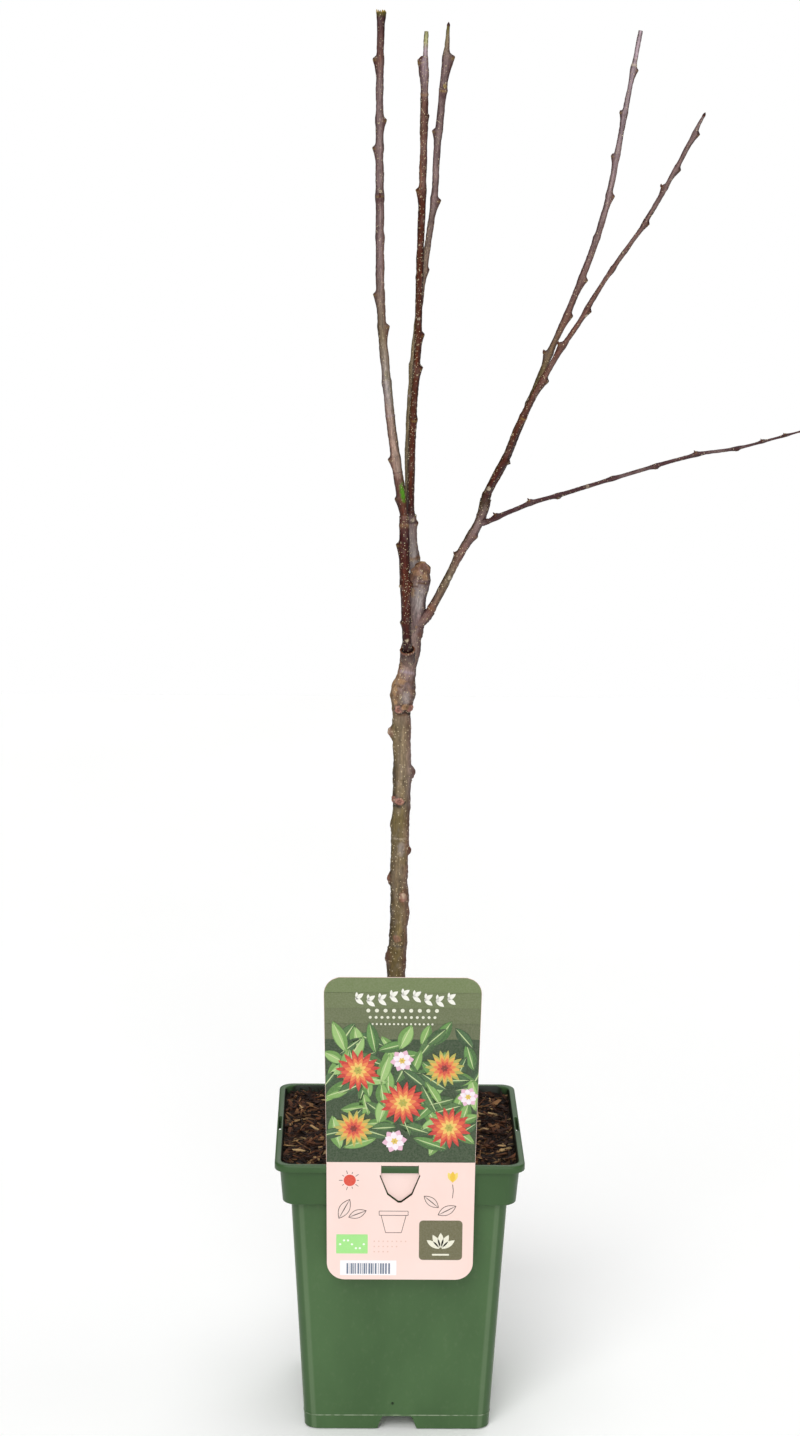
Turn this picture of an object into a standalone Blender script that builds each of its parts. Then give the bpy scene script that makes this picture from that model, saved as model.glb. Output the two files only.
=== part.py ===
"""Potted elstar apple tree: a young, pruned tree in a square nursery pot with its hanging card.

The frame is +Z up with its origin on the ground under the middle of the pot. The front, where the card
hangs, looks along -Y. Sizes are in millimetres and turned to metres where a shape is made.
"""

import math
from dataclasses import dataclass

import bmesh
import bpy
from mathutils import Matrix, Vector

MM = 0.001
CLEARANCE = 0.3
UP = Vector((0, 0, 1))
DEPTH = Vector((0, 1, 0))

# Pot: half widths are from the middle of the pot to the outside of a wall
POT_HEIGHT = 225.0
POT_WALL = 1.6
POT_CORNER_RADIUS = 11.0
POT_CORNER_STEPS = 5
FOOT_HALF_WIDTH = 71.9
BODY_TOP_HALF_WIDTH = 82.8
BODY_TOP = 190.4
COLLAR_BOTTOM_HALF_WIDTH = 89.2
COLLAR_TOP_HALF_WIDTH = 91.4
COLLAR_BOTTOM = 192.7
LIP_HALF_WIDTH = 95.2
LIP_BOTTOM = 219.2
LIP_ROUNDING = 1.2
RIM_EASE = 0.3
SHOULDER_SETBACK = 1.6
SHOULDER_RISE = 0.6
FLOOR_BOTTOM = 11.5
FLOOR_THICKNESS = 2.0
NOTCH_HEIGHT = 10.6
NOTCH_TOP_WIDTH = 24.0
NOTCH_GROUND_WIDTH = 31.0
REST_PAD_RADIUS = 12.0
DRAIN_RADIUS = 5.0
DRAIN_REACH = 48.0
LIP_SLOT_LENGTH = 31.4
LIP_SLOT_FRONT = 94.1
LIP_SLOT_BACK = 91.7
CUT_MARGIN = 1.0
NOTCH_START = 5.0
NOTCH_DEPTH = 12.0

# Soil
SOIL_TOP = 220.0
SOIL_EDGE_DROP = 1.2
SOIL_RINGS = 6
SOIL_LUMP = 1.1
SOIL_CALM_RADIUS = 16.0
SOIL_CALM_FADE = 12.0
SOIL_WAVE_ACROSS = 0.16
SOIL_WAVE_DEEP = 0.13
SOIL_RIPPLE = 0.31
SOIL_RIPPLE_SHARE = 0.6

# Card: a flared sheet that hangs by a flap hooked over the lip and down through the lip's slot
CARD_THICKNESS = 0.7
CARD_BOTTOM = 134.0
CARD_TOP = 377.5
CARD_BOTTOM_WIDTH = 111.0
CARD_RIM_WIDTH = 112.6
CARD_TOP_WIDTH = 118.6
CARD_CORNER_RADIUS = 13.5
CARD_CORNER_STEPS = 5
CARD_LEAN = 9.0
CARD_LEAN_CUTS = 5
CARD_LEAN_CURVE = 1.3
CARD_CENTRE = 0.6
FLAP_NECK_WIDTH = 28.6
FLAP_SHOULDER_WIDTH = 31.0
FLAP_WAIST_WIDTH = 19.0
FLAP_TIP = 196.0
FLAP_WAIST = 202.4
FLAP_SHOULDER = 217.8
FLAP_CUT = 0.7
FLAP_NECK_EASE = 1.2
FLAP_POINT_HALF_WIDTH = 1.2
FOLD_OVERLAP = 0.6

# Trunk: its axis, its taper and what swells it, upwards from the soil
TRUNK_FOOT = (-1.3, 0.0, SOIL_TOP + CLEARANCE)
TRUNK_TOP = (14.4, 3.1, 671.5)
TRUNK_BENDS = (
    (0.29, -6.1, -0.9),
    (0.39, -5.8, -1.2),
    (0.48, -7.7, -1.5),
    (0.63, -8.5, -2.0),
    (0.70, -10.2, -2.2),
    (0.77, -11.3, -2.4),
    (0.81, -8.7, -2.0),
    (0.88, -5.1, -0.8),
    (0.94, -2.6, 0.8),
)
TRUNK_TAPER = ((0.0, 7.9), (0.3, 7.25), (0.48, 6.8), (0.72, 7.0), (0.9, 6.2), (1.0, 6.1))
ROOT_FLARE = 4.2
ROOT_FLARE_LENGTH = 11.0
BURR_HEIGHT = 572.0
BURR_SWELL = 3.2
BURR_LENGTH = 9.0
COLLAR_SWELL_HEIGHT = 604.0
COLLAR_SWELL = 0.9
KNOB_HEIGHT = 659.0
KNOB_SWELL = 1.1
KNOB_ROUNDING = 4.5
KNOB_FLAT = 0.12

LIMB_STEP = 10.0
TRUNK_STEP = 6.5
END_STEP = 1.2
NODE_SWELL = 0.35
NODE_LENGTH = 3.5
BUD_LENGTH = 4.4
BUD_WIDTH = 3.2
BUD_POINT = 0.45
BUD_LEAN = 42.0
BUD_SUNK = 1.2
BUD_BASE_RADIUS = 2.5
BUD_MOST = 1.1
COLLAR_START = 1.35
COLLAR_END = 1.1
COLLAR_KNEE = 0.55
COLLAR_STEPS = 4
COLLAR_IN_PARENT = 0.85
COLLAR_LAST_SPRING = 0.97
KNOT_FLATNESS = 0.35


@dataclass
class Limb:
    """One tapering limb: a chord from foot to tip, bent aside and in depth at parts of its length.

    A bend is (part of the length, mm across, mm in depth). Across runs to the right of an upright limb
    and below a level one; depth runs away from the card's side. A taper entry is (part, radius), and a
    bud is (part, degrees about the limb from across towards depth) and, where it is large, its size.
    """

    name: str
    foot: tuple
    tip: tuple
    bends: tuple
    taper: tuple
    buds: tuple = ()
    colour: tuple = (0.16, 0.10, 0.09)
    sides_step: int = 2
    collar_length: float = 8.0
    collar_swell: float = 1.22

    def axes(self):
        """The chord's start, its vector, and the across and depth directions."""
        foot = Vector(self.foot)
        chord = Vector(self.tip) - foot
        across = DEPTH.cross(chord).normalized()
        return foot, chord, across, chord.normalized().cross(across)

    def stations(self):
        """The points that the limb's axis passes through, with their parts of the length."""
        foot, chord, across, depth = self.axes()
        bends = ((0.0, 0.0, 0.0), *self.bends, (1.0, 0.0, 0.0))
        return [(part, foot + chord * part + across * aside + depth * deep) for part, aside, deep in bends]

    def point(self, part):
        """The axis at a part of the length, on a smooth curve through the stations."""
        return hermite(self.stations(), part)

    def direction(self, part):
        """The way the limb grows at a part of its length."""
        step = END_STEP / self.length()
        low, high = max(part - step, 0.0), min(part + step, 1.0)
        return (self.point(high) - self.point(low)).normalized()

    def length(self):
        """The chord's length, which is near enough to the limb's."""
        return (Vector(self.tip) - Vector(self.foot)).length

    def radius(self, part):
        """The limb's radius, with a small swelling at each bud."""
        swell = sum(bump((part - bud[0]) * self.length(), NODE_LENGTH) for bud in self.buds)
        return between(self.taper, part) + NODE_SWELL * min(swell, 1.0)


def bump(distance, reach):
    """A smooth rise that is 1 at no distance and fades out over the reach."""
    return math.exp(-((distance / reach) ** 2))


def between(pairs, part):
    """The value at a part, on straight lines between (part, value) pairs."""
    for (low, start), (high, end) in zip(pairs, pairs[1:]):
        if part <= high:
            return start + (end - start) * (part - low) / (high - low)
    return pairs[-1][1]


def hermite(stations, part):
    """A point on the smooth curve through (part, point) stations."""
    last = len(stations) - 1
    index = 0
    while index < last - 1 and part > stations[index + 1][0]:
        index += 1

    def slope(i):
        (low, start), (high, end) = stations[max(i - 1, 0)], stations[min(i + 1, last)]
        return (end - start) / (high - low)

    (low, start), (high, end) = stations[index], stations[index + 1]
    span = high - low
    s = (part - low) / span
    return (
        start * (2 * s**3 - 3 * s**2 + 1)
        + slope(index) * span * (s**3 - 2 * s**2 + s)
        + end * (3 * s**2 - 2 * s**3)
        + slope(index + 1) * span * (s**3 - s**2)
    )


def clear_scene():
    """Start from an empty file."""
    for obj in list(bpy.data.objects):
        bpy.data.objects.remove(obj, do_unlink=True)


def material(name, colour, roughness):
    """A plain material for one sub-part."""
    mat = bpy.data.materials.new(name)
    mat.use_nodes = True
    shader = mat.node_tree.nodes["Principled BSDF"]
    shader.inputs["Base Color"].default_value = (*colour, 1.0)
    shader.inputs["Roughness"].default_value = roughness
    shader.inputs["Metallic"].default_value = 0.0
    mat.diffuse_color = (*colour, 1.0)
    return mat


def add_object(name, mesh, collection, mat=None):
    """Put a mesh in a collection as an object."""
    obj = bpy.data.objects.new(name, mesh)
    if mat:
        mesh.materials.clear()
        mesh.materials.append(mat)
    collection.objects.link(obj)
    return obj


def mesh_from_bmesh(name, bm):
    """Turn a bmesh in millimetres to a mesh in metres, with its faces pointing out."""
    bmesh.ops.recalc_face_normals(bm, faces=bm.faces)
    bmesh.ops.scale(bm, vec=(MM, MM, MM), verts=bm.verts)
    mesh = bpy.data.meshes.new(name)
    bm.to_mesh(mesh)
    bm.free()
    return mesh


def tool_collection(name):
    """A collection for cutters or for pieces that are about to be fused."""
    collection = bpy.data.collections.new(name)
    bpy.context.scene.collection.children.link(collection)
    return collection


def add_tool(name, mesh, collection):
    """An object that only cuts or is fused, so it is not itself a part."""
    obj = add_object(name, mesh, collection)
    obj.hide_render = True
    obj.display_type = "WIRE"
    return obj


def combine(obj, collection, operation):
    """Cut or fuse a collection's objects in one Boolean, apply it and drop them."""
    modifier = obj.modifiers.new(operation.title(), "BOOLEAN")
    modifier.operation = operation
    modifier.operand_type = "COLLECTION"
    modifier.collection = collection
    modifier.solver = "EXACT"
    evaluated = obj.evaluated_get(bpy.context.evaluated_depsgraph_get())
    mesh = bpy.data.meshes.new_from_object(evaluated)
    obj.modifiers.clear()
    obj.data = mesh
    for tool in list(collection.objects):
        bpy.data.objects.remove(tool, do_unlink=True)
    bpy.data.collections.remove(collection)


def curve_to_mesh(obj):
    """Turn a curve object to a closed mesh with its place in it, and drop the curve."""
    bpy.context.view_layer.update()
    mesh = bpy.data.meshes.new_from_object(obj.evaluated_get(bpy.context.evaluated_depsgraph_get()))
    mesh.transform(obj.matrix_world)
    bpy.data.objects.remove(obj, do_unlink=True)
    bm = bmesh.new()
    bm.from_mesh(mesh)
    bmesh.ops.remove_doubles(bm, verts=bm.verts, dist=1e-6)
    bmesh.ops.recalc_face_normals(bm, faces=bm.faces)
    bm.to_mesh(mesh)
    bm.free()
    return mesh


def corner_ring(bm, half, height, radius):
    """A square with rounded corners as a ring of vertices at one height."""
    ring = []
    for quarter in range(4):
        turn = quarter * math.pi / 2
        centre = Matrix.Rotation(turn, 3, "Z") @ Vector((half - radius, half - radius, 0))
        for step in range(POT_CORNER_STEPS + 1):
            angle = turn + step * math.pi / 2 / POT_CORNER_STEPS
            edge = Vector((math.cos(angle), math.sin(angle), 0)) * radius
            ring.append(bm.verts.new(centre + edge + UP * height))
    return ring


def loft(bm, rings):
    """Skin rings of the same count one to the next, and close both ends."""
    for low, high in zip(rings, rings[1:]):
        count = len(low)
        for i in range(count):
            bm.faces.new((low[i], low[(i + 1) % count], high[(i + 1) % count], high[i]))
    bm.faces.new(rings[0])
    bm.faces.new(rings[-1])


def prism(outline, extrusion):
    """A prism mesh from a closed outline of points and the vector that it is drawn out along."""
    bm = bmesh.new()
    face = bm.faces.new([bm.verts.new(point) for point in outline])
    side = bmesh.ops.extrude_face_region(bm, geom=[face])["geom"]
    bmesh.ops.translate(bm, vec=extrusion, verts=[v for v in side if isinstance(v, bmesh.types.BMVert)])
    return mesh_from_bmesh("prism", bm)


def cone_mesh(start, end, start_radius, end_radius, segments):
    """A closed cone or cylinder between two points."""
    axis = Vector(end) - Vector(start)
    bm = bmesh.new()
    bmesh.ops.create_cone(
        bm, cap_ends=True, segments=segments, radius1=start_radius, radius2=end_radius, depth=axis.length
    )
    turn = UP.rotation_difference(axis).to_matrix().to_4x4()
    middle = (Vector(start) + Vector(end)) / 2
    bmesh.ops.transform(bm, matrix=Matrix.Translation(middle) @ turn, verts=bm.verts)
    return mesh_from_bmesh("cone", bm)


def ball_mesh(centre, radii, outward):
    """A ball flattened along the way it looks, for bud scars and lumps of bark."""
    bm = bmesh.new()
    bmesh.ops.create_uvsphere(bm, u_segments=8, v_segments=6, radius=1.0)
    size = Matrix.Diagonal((*radii, 1.0))
    turn = UP.rotation_difference(outward).to_matrix().to_4x4()
    bmesh.ops.transform(bm, matrix=Matrix.Translation(centre) @ turn @ size, verts=bm.verts)
    return mesh_from_bmesh("ball", bm)


def wall_half_width(height):
    """The outside of the pot's body or collar at a height."""
    if height <= BODY_TOP:
        part = height / BODY_TOP
        return FOOT_HALF_WIDTH + (BODY_TOP_HALF_WIDTH - FOOT_HALF_WIDTH) * part
    part = (height - COLLAR_BOTTOM) / (LIP_BOTTOM - COLLAR_BOTTOM)
    return COLLAR_BOTTOM_HALF_WIDTH + (COLLAR_TOP_HALF_WIDTH - COLLAR_BOTTOM_HALF_WIDTH) * part


def build_pot(collection):
    """The pot: a tapered square shell with a collar, a turned-out lip, notched feet and drain holes."""
    inner_step = COLLAR_BOTTOM + POT_WALL
    outside = (
        (wall_half_width(0), 0.0),
        (wall_half_width(FLOOR_BOTTOM), FLOOR_BOTTOM),
        (BODY_TOP_HALF_WIDTH, BODY_TOP),
        (COLLAR_BOTTOM_HALF_WIDTH - SHOULDER_SETBACK, BODY_TOP + SHOULDER_RISE),
        (COLLAR_BOTTOM_HALF_WIDTH, COLLAR_BOTTOM),
        (COLLAR_TOP_HALF_WIDTH, LIP_BOTTOM),
        (LIP_HALF_WIDTH, LIP_BOTTOM),
        (LIP_HALF_WIDTH, POT_HEIGHT - LIP_ROUNDING),
        (LIP_HALF_WIDTH - LIP_ROUNDING, POT_HEIGHT),
    )
    inside = (
        (wall_half_width(POT_HEIGHT) - POT_WALL + RIM_EASE, POT_HEIGHT),
        (wall_half_width(POT_HEIGHT - LIP_ROUNDING) - POT_WALL, POT_HEIGHT - LIP_ROUNDING),
        (wall_half_width(inner_step) - POT_WALL, inner_step),
        (BODY_TOP_HALF_WIDTH - POT_WALL, BODY_TOP),
        (wall_half_width(FLOOR_BOTTOM) - POT_WALL, FLOOR_BOTTOM + FLOOR_THICKNESS),
    )
    bm = bmesh.new()
    outer_rings = [corner_ring(bm, half, height, POT_CORNER_RADIUS) for half, height in outside]
    inner_rings = [corner_ring(bm, half, height, POT_CORNER_RADIUS - POT_WALL) for half, height in inside]
    skirt = wall_half_width(0) - POT_WALL
    under = [corner_ring(bm, skirt, height, POT_CORNER_RADIUS - POT_WALL) for height in (FLOOR_BOTTOM, 0.0)]
    loft(bm, under + outer_rings + inner_rings)
    plastic = material("pot plastic", (0.08, 0.17, 0.07), 0.42)
    pot = add_object("pot", mesh_from_bmesh("pot", bm), collection, plastic)
    fuse_rest_pad(pot)
    cut_pot(pot)
    return pot


def fuse_rest_pad(pot):
    """The round boss under the middle of the floor, as low as the feet."""
    pads = tool_collection("pot pads")
    in_floor = (0, 0, FLOOR_BOTTOM + FLOOR_THICKNESS / 2)
    add_tool("pad", cone_mesh((0, 0, 0), in_floor, REST_PAD_RADIUS, REST_PAD_RADIUS, 24), pads)
    combine(pot, pads, "UNION")


def cut_pot(pot):
    """The notch in the middle of each side's foot, the slot in each side's lip, and the drain holes."""
    cutters = tool_collection("pot cutters")
    ground, top = NOTCH_GROUND_WIDTH / 2, NOTCH_TOP_WIDTH / 2
    notch = ((-ground, -CUT_MARGIN), (ground, -CUT_MARGIN), (top, NOTCH_HEIGHT), (-top, NOTCH_HEIGHT))
    notch_front = -FOOT_HALF_WIDTH - NOTCH_START
    slot = LIP_SLOT_LENGTH / 2
    slot_bottom = LIP_BOTTOM - CUT_MARGIN
    slot_rise = UP * (POT_HEIGHT - LIP_BOTTOM + 2 * CUT_MARGIN)
    floor_low, floor_high = FLOOR_BOTTOM - CUT_MARGIN, FLOOR_BOTTOM + FLOOR_THICKNESS + CUT_MARGIN
    for quarter in range(4):
        turn = Matrix.Rotation(quarter * math.pi / 2, 3, "Z")
        outline = [turn @ Vector((x, notch_front, z)) for x, z in notch]
        add_tool("notch", prism(outline, turn @ (DEPTH * NOTCH_DEPTH)), cutters)
        depths = (LIP_SLOT_FRONT, LIP_SLOT_BACK)
        corners = [(-slot, -depths[0]), (slot, -depths[0]), (slot, -depths[1]), (-slot, -depths[1])]
        add_tool("slot", prism([turn @ Vector((x, y, slot_bottom)) for x, y in corners], slot_rise), cutters)
        for reach in (Vector((DRAIN_REACH, DRAIN_REACH, 0)), Vector((DRAIN_REACH, 0, 0))):
            middle = turn @ reach
            low, high = middle + UP * floor_low, middle + UP * floor_high
            add_tool("drain", cone_mesh(low, high, DRAIN_RADIUS, DRAIN_RADIUS, 12), cutters)
    combine(pot, cutters, "DIFFERENCE")


def soil_lump(x, y):
    """The soil's small rises and dips, flat under the trunk."""
    away = math.hypot(x, y)
    calm = min(max((away - SOIL_CALM_RADIUS) / SOIL_CALM_FADE, 0.0), 1.0)
    wave = math.sin(x * SOIL_WAVE_ACROSS + 1.3) * math.cos(y * SOIL_WAVE_DEEP - 0.4)
    wave += SOIL_RIPPLE_SHARE * math.sin((x - y) * SOIL_RIPPLE)
    return calm * SOIL_LUMP * wave


def build_soil(collection):
    """The potting mix that fills the pot, clear of its walls and floor."""
    gap = POT_WALL + CLEARANCE
    inner_step = COLLAR_BOTTOM + POT_WALL + CLEARANCE
    sides = (
        (wall_half_width(FLOOR_BOTTOM) - gap, FLOOR_BOTTOM + FLOOR_THICKNESS + CLEARANCE),
        (BODY_TOP_HALF_WIDTH - gap, BODY_TOP + CLEARANCE),
        (wall_half_width(inner_step) - gap, inner_step),
    )
    edge_half = wall_half_width(SOIL_TOP) - gap
    bm = bmesh.new()
    radius = POT_CORNER_RADIUS - gap
    rings = [corner_ring(bm, half, height, radius) for half, height in sides]
    for ring in range(SOIL_RINGS):
        part = 1 - ring / SOIL_RINGS
        rings.append(corner_ring(bm, edge_half * part, SOIL_TOP - SOIL_EDGE_DROP * part**6, radius * part))
    for ring in rings[len(sides) :]:
        for vertex in ring:
            vertex.co.z += soil_lump(vertex.co.x, vertex.co.y)
    loft(bm, rings)
    mat = material("potting mix", (0.07, 0.045, 0.03), 0.95)
    return add_object("soil", mesh_from_bmesh("soil", bm), collection, mat)


def card_outline():
    """The card's outer edge in the XZ plane: flared sides and round corners, from the lower left."""
    bottom, rim, top = CARD_BOTTOM_WIDTH / 2, CARD_RIM_WIDTH / 2, CARD_TOP_WIDTH / 2
    corners = (
        (-bottom, CARD_BOTTOM, 180),
        (bottom, CARD_BOTTOM, 270),
        (top, CARD_TOP, 0),
        (-top, CARD_TOP, 90),
    )
    outline = []
    for x, z, first in corners:
        inward = Vector((-math.copysign(1, x), 0, 1 if z == CARD_BOTTOM else -1))
        centre = Vector((x, 0, z)) + inward * CARD_CORNER_RADIUS
        for step in range(CARD_CORNER_STEPS + 1):
            angle = math.radians(first + step * 90 / CARD_CORNER_STEPS)
            outline.append(centre + Vector((math.cos(angle), 0, math.sin(angle))) * CARD_CORNER_RADIUS)
        if (x, z) == (bottom, CARD_BOTTOM):
            outline.append(Vector((rim, 0, POT_HEIGHT)))
    outline.append(Vector((-rim, 0, POT_HEIGHT)))
    return [point + Vector((CARD_CENTRE, 0, 0)) for point in outline]


def flap_outline(top, shrink):
    """The hanging flap's edge from its neck's left, round its point, to its neck's right."""
    widths = (FLAP_NECK_WIDTH, FLAP_SHOULDER_WIDTH, FLAP_WAIST_WIDTH)
    neck, shoulder, waist = (width / 2 - shrink for width in widths)
    half = (
        (neck, top),
        (neck, FLAP_SHOULDER + FLAP_NECK_EASE),
        (shoulder, FLAP_SHOULDER - shrink),
        (waist, FLAP_WAIST + shrink / 2),
        (FLAP_POINT_HALF_WIDTH, FLAP_TIP + shrink),
    )
    points = [(-x, z) for x, z in half] + [(x, z) for x, z in reversed(half)]
    return [Vector((x, 0, z)) for x, z in points]


def flat_piece(name, outlines, front, thickness):
    """A flat upright sheet from its outlines, as a filled curve made a mesh."""
    curve = bpy.data.curves.new(name, "CURVE")
    curve.dimensions = "2D"
    curve.fill_mode = "BOTH"
    curve.extrude = thickness * MM / 2
    for outline in outlines:
        spline = curve.splines.new("POLY")
        spline.points.add(len(outline) - 1)
        spline.use_cyclic_u = True
        for point, place in zip(spline.points, outline):
            point.co = (place.x * MM, place.z * MM, 0, 1)
    obj = bpy.data.objects.new(name, curve)
    bpy.context.scene.collection.objects.link(obj)
    middle = Matrix.Translation((0, (front + thickness / 2) * MM, 0))
    obj.matrix_world = middle @ Matrix.Rotation(math.pi / 2, 4, "X")
    return curve_to_mesh(obj)


def lean_card(mesh):
    """Cut the card across at a few heights and lean what stands above the rim forward in a soft curve."""
    bm = bmesh.new()
    bm.from_mesh(mesh)
    for step in range(1, CARD_LEAN_CUTS):
        height = POT_HEIGHT + (CARD_TOP - POT_HEIGHT) * step / CARD_LEAN_CUTS
        everything = bm.verts[:] + bm.edges[:] + bm.faces[:]
        bmesh.ops.bisect_plane(bm, geom=everything, plane_co=(0, 0, height * MM), plane_no=UP)
    start = POT_HEIGHT * MM
    for vertex in bm.verts:
        rise = max(vertex.co.z - start, 0.0) / ((CARD_TOP - POT_HEIGHT) * MM)
        vertex.co.y -= CARD_LEAN * MM * rise**CARD_LEAN_CURVE
    bm.to_mesh(mesh)
    bm.free()


def build_label(collection):
    """The hanging card, with its flap folded back over the lip and down through the slot."""
    back = -LIP_HALF_WIDTH - CLEARANCE
    front = back - CARD_THICKNESS
    fold_top = POT_HEIGHT + CLEARANCE + CARD_THICKNESS
    hole = flap_outline(fold_top, 0.0)
    card_mesh = flat_piece("card", (card_outline(), hole), front, CARD_THICKNESS)
    lean_card(card_mesh)
    plastic = material("printed plastic card", (0.80, 0.62, 0.52), 0.35)
    card = add_object("label", card_mesh, collection, plastic)
    slot_middle = -(LIP_SLOT_FRONT + LIP_SLOT_BACK) / 2
    flap_front = slot_middle - CARD_THICKNESS / 2
    pieces = tool_collection("flap pieces")
    flap_mesh = flat_piece("flap", (flap_outline(fold_top, FLAP_CUT),), flap_front, CARD_THICKNESS)
    add_tool("flap", flap_mesh, pieces)
    half = FLAP_NECK_WIDTH / 2 - FLAP_CUT
    low, inner = POT_HEIGHT + CLEARANCE, flap_front + FOLD_OVERLAP
    corners = ((-half, front), (half, front), (half, inner), (-half, inner))
    over = [Vector((x, y, low)) for x, y in corners]
    add_tool("fold", prism(over, UP * (CARD_THICKNESS + FOLD_OVERLAP)), pieces)
    combine(card, pieces, "UNION")
    return card


def bent_tube(name, points, radii, sides_step):
    """A round tube through points, with a radius at each, as a curve with a filled bevel made a mesh."""
    curve = bpy.data.curves.new(name, "CURVE")
    curve.dimensions = "3D"
    curve.bevel_depth = MM
    curve.bevel_resolution = sides_step
    curve.use_fill_caps = True
    spline = curve.splines.new("POLY")
    spline.points.add(len(points) - 1)
    for spot, place, radius in zip(spline.points, points, radii):
        spot.co = (*(place * MM), 1)
        spot.radius = radius
    obj = bpy.data.objects.new(name, curve)
    bpy.context.scene.collection.objects.link(obj)
    return curve_to_mesh(obj)


def tube(limb, step):
    """A limb's tapering tube, with both ends cut square to the way it grows."""
    count = max(int(limb.length() / step), 4)
    square = END_STEP / limb.length()
    parts = [0.0, square, *(index / count for index in range(1, count)), 1 - square, 1.0]
    points = [limb.point(part) for part in parts]
    return bent_tube(limb.name, points, [limb.radius(part) for part in parts], limb.sides_step)


def outward(limb, part, degrees):
    """The way straight out of a limb's side."""
    along = limb.direction(part)
    across = DEPTH.cross(along).normalized()
    deep = along.cross(across)
    angle = math.radians(degrees)
    return across * math.cos(angle) + deep * math.sin(angle)


def add_buds(limb, pieces):
    """The limb's buds: small cones that lie against it and point to its tip."""
    lean = math.radians(BUD_LEAN)
    for part, degrees, *larger in limb.buds:
        out = outward(limb, part, degrees)
        along = limb.direction(part)
        size = min(limb.radius(part) / BUD_BASE_RADIUS, BUD_MOST) * (larger[0] if larger else 1.0)
        root = limb.point(part) + out * (limb.radius(part) - BUD_SUNK * size) - along * BUD_LENGTH / 2 * size
        point = root + (along * math.cos(lean) + out * math.sin(lean)) * BUD_LENGTH * size
        add_tool("bud", cone_mesh(root, point, BUD_WIDTH * size / 2, BUD_POINT * size, 6), pieces)


def add_collar(parent, child, pieces):
    """The parent's collar: it springs from the parent's axis and ends just clear of the child's foot."""
    foot, chord, _, _ = parent.axes()
    level = (Vector(child.foot) - foot).dot(chord) / chord.length_squared
    spring = min(max(level - child.collar_length / chord.length, 0.0), COLLAR_LAST_SPRING)
    root = parent.point(spring)
    along = child.direction(0.0)
    end = Vector(child.foot) - along * CLEARANCE
    knee = end - along * child.collar_length * COLLAR_KNEE
    girth = child.radius(0.0)
    start = min(girth * COLLAR_START, parent.radius(spring) * COLLAR_IN_PARENT)
    profile = ((0.0, start), (COLLAR_KNEE, girth * child.collar_swell), (1.0, girth * COLLAR_END))
    points, radii = [], []
    for step in range(COLLAR_STEPS):
        part = step / COLLAR_STEPS
        points.append(root.lerp(knee, part).lerp(knee.lerp(end, part), part))
        radii.append(between(profile, part))
    points += [end - along * END_STEP, end]
    radii += [girth * COLLAR_END] * 2
    add_tool("collar", bent_tube("collar", points, radii, 2), pieces)


def build_limb(limb, children, collection):
    """A limb with its buds and the collars of the limbs that it carries."""
    mat = material(limb.name + " bark", limb.colour, 0.6)
    obj = add_object(limb.name, tube(limb, LIMB_STEP), collection, mat)
    pieces = tool_collection(limb.name + " pieces")
    add_buds(limb, pieces)
    for child in children:
        add_collar(limb, child, pieces)
    combine(obj, pieces, "UNION")
    return obj


class Trunk(Limb):
    """The trunk, whose girth also follows its flare, burr and pruned knob."""

    def radius(self, part):
        height = self.point(part).z
        above = height - self.foot[2]
        girth = between(self.taper, part)
        girth += ROOT_FLARE * math.exp(-above / ROOT_FLARE_LENGTH)
        girth += BURR_SWELL * bump(height - BURR_HEIGHT, BURR_LENGTH)
        girth += COLLAR_SWELL * bump(height - COLLAR_SWELL_HEIGHT, BURR_LENGTH)
        girth += KNOB_SWELL * bump(height - KNOB_HEIGHT, BURR_LENGTH)
        below_top = self.tip[2] - height
        if below_top < KNOB_ROUNDING:
            drop = (KNOB_ROUNDING - below_top) / KNOB_ROUNDING
            girth *= math.sqrt(max(1 - drop**2, KNOB_FLAT))
        return girth


# Knots on the trunk: height, degrees about it from the right towards the back, radius, how far it stands out
TRUNK_KNOTS = (
    (362.0, 195, 5.0, 1.9),
    (377.0, 262, 5.2, 0.9),
    (411.0, 290, 4.4, 0.7),
    (424.0, 180, 3.4, 2.6),
    (446.0, 0, 3.0, 1.8),
    (467.0, 170, 4.2, 1.0),
    (488.0, 255, 4.0, 1.2),
    (509.5, 0, 3.8, 3.2),
    (540.0, 182, 4.4, 3.6),
    (559.0, 262, 3.8, 2.0),
    (560.5, 325, 4.4, 3.0),
    (398.0, 80, 3.6, 1.5),
    (470.0, 95, 3.4, 1.5),
    (528.0, 75, 3.6, 1.8),
)


def build_trunk(trunk, children, collection):
    """The trunk with its knots and the collars of the boughs, cut flat where it meets the soil."""
    mat = material("trunk bark", trunk.colour, 0.7)
    obj = add_object(trunk.name, tube(trunk, TRUNK_STEP), collection, mat)
    pieces = tool_collection("trunk pieces")
    for height, degrees, size, proud in TRUNK_KNOTS:
        part = (height - trunk.foot[2]) / (trunk.tip[2] - trunk.foot[2])
        out = outward(trunk, part, degrees)
        sunk = size * KNOT_FLATNESS
        centre = trunk.point(part) + out * (trunk.radius(part) - sunk)
        add_tool("knot", ball_mesh(centre, (size, size, sunk + proud), out), pieces)
    for child in children:
        add_collar(trunk, child, pieces)
    combine(obj, pieces, "UNION")
    level_foot(obj, trunk.foot[2])
    return obj


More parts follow.
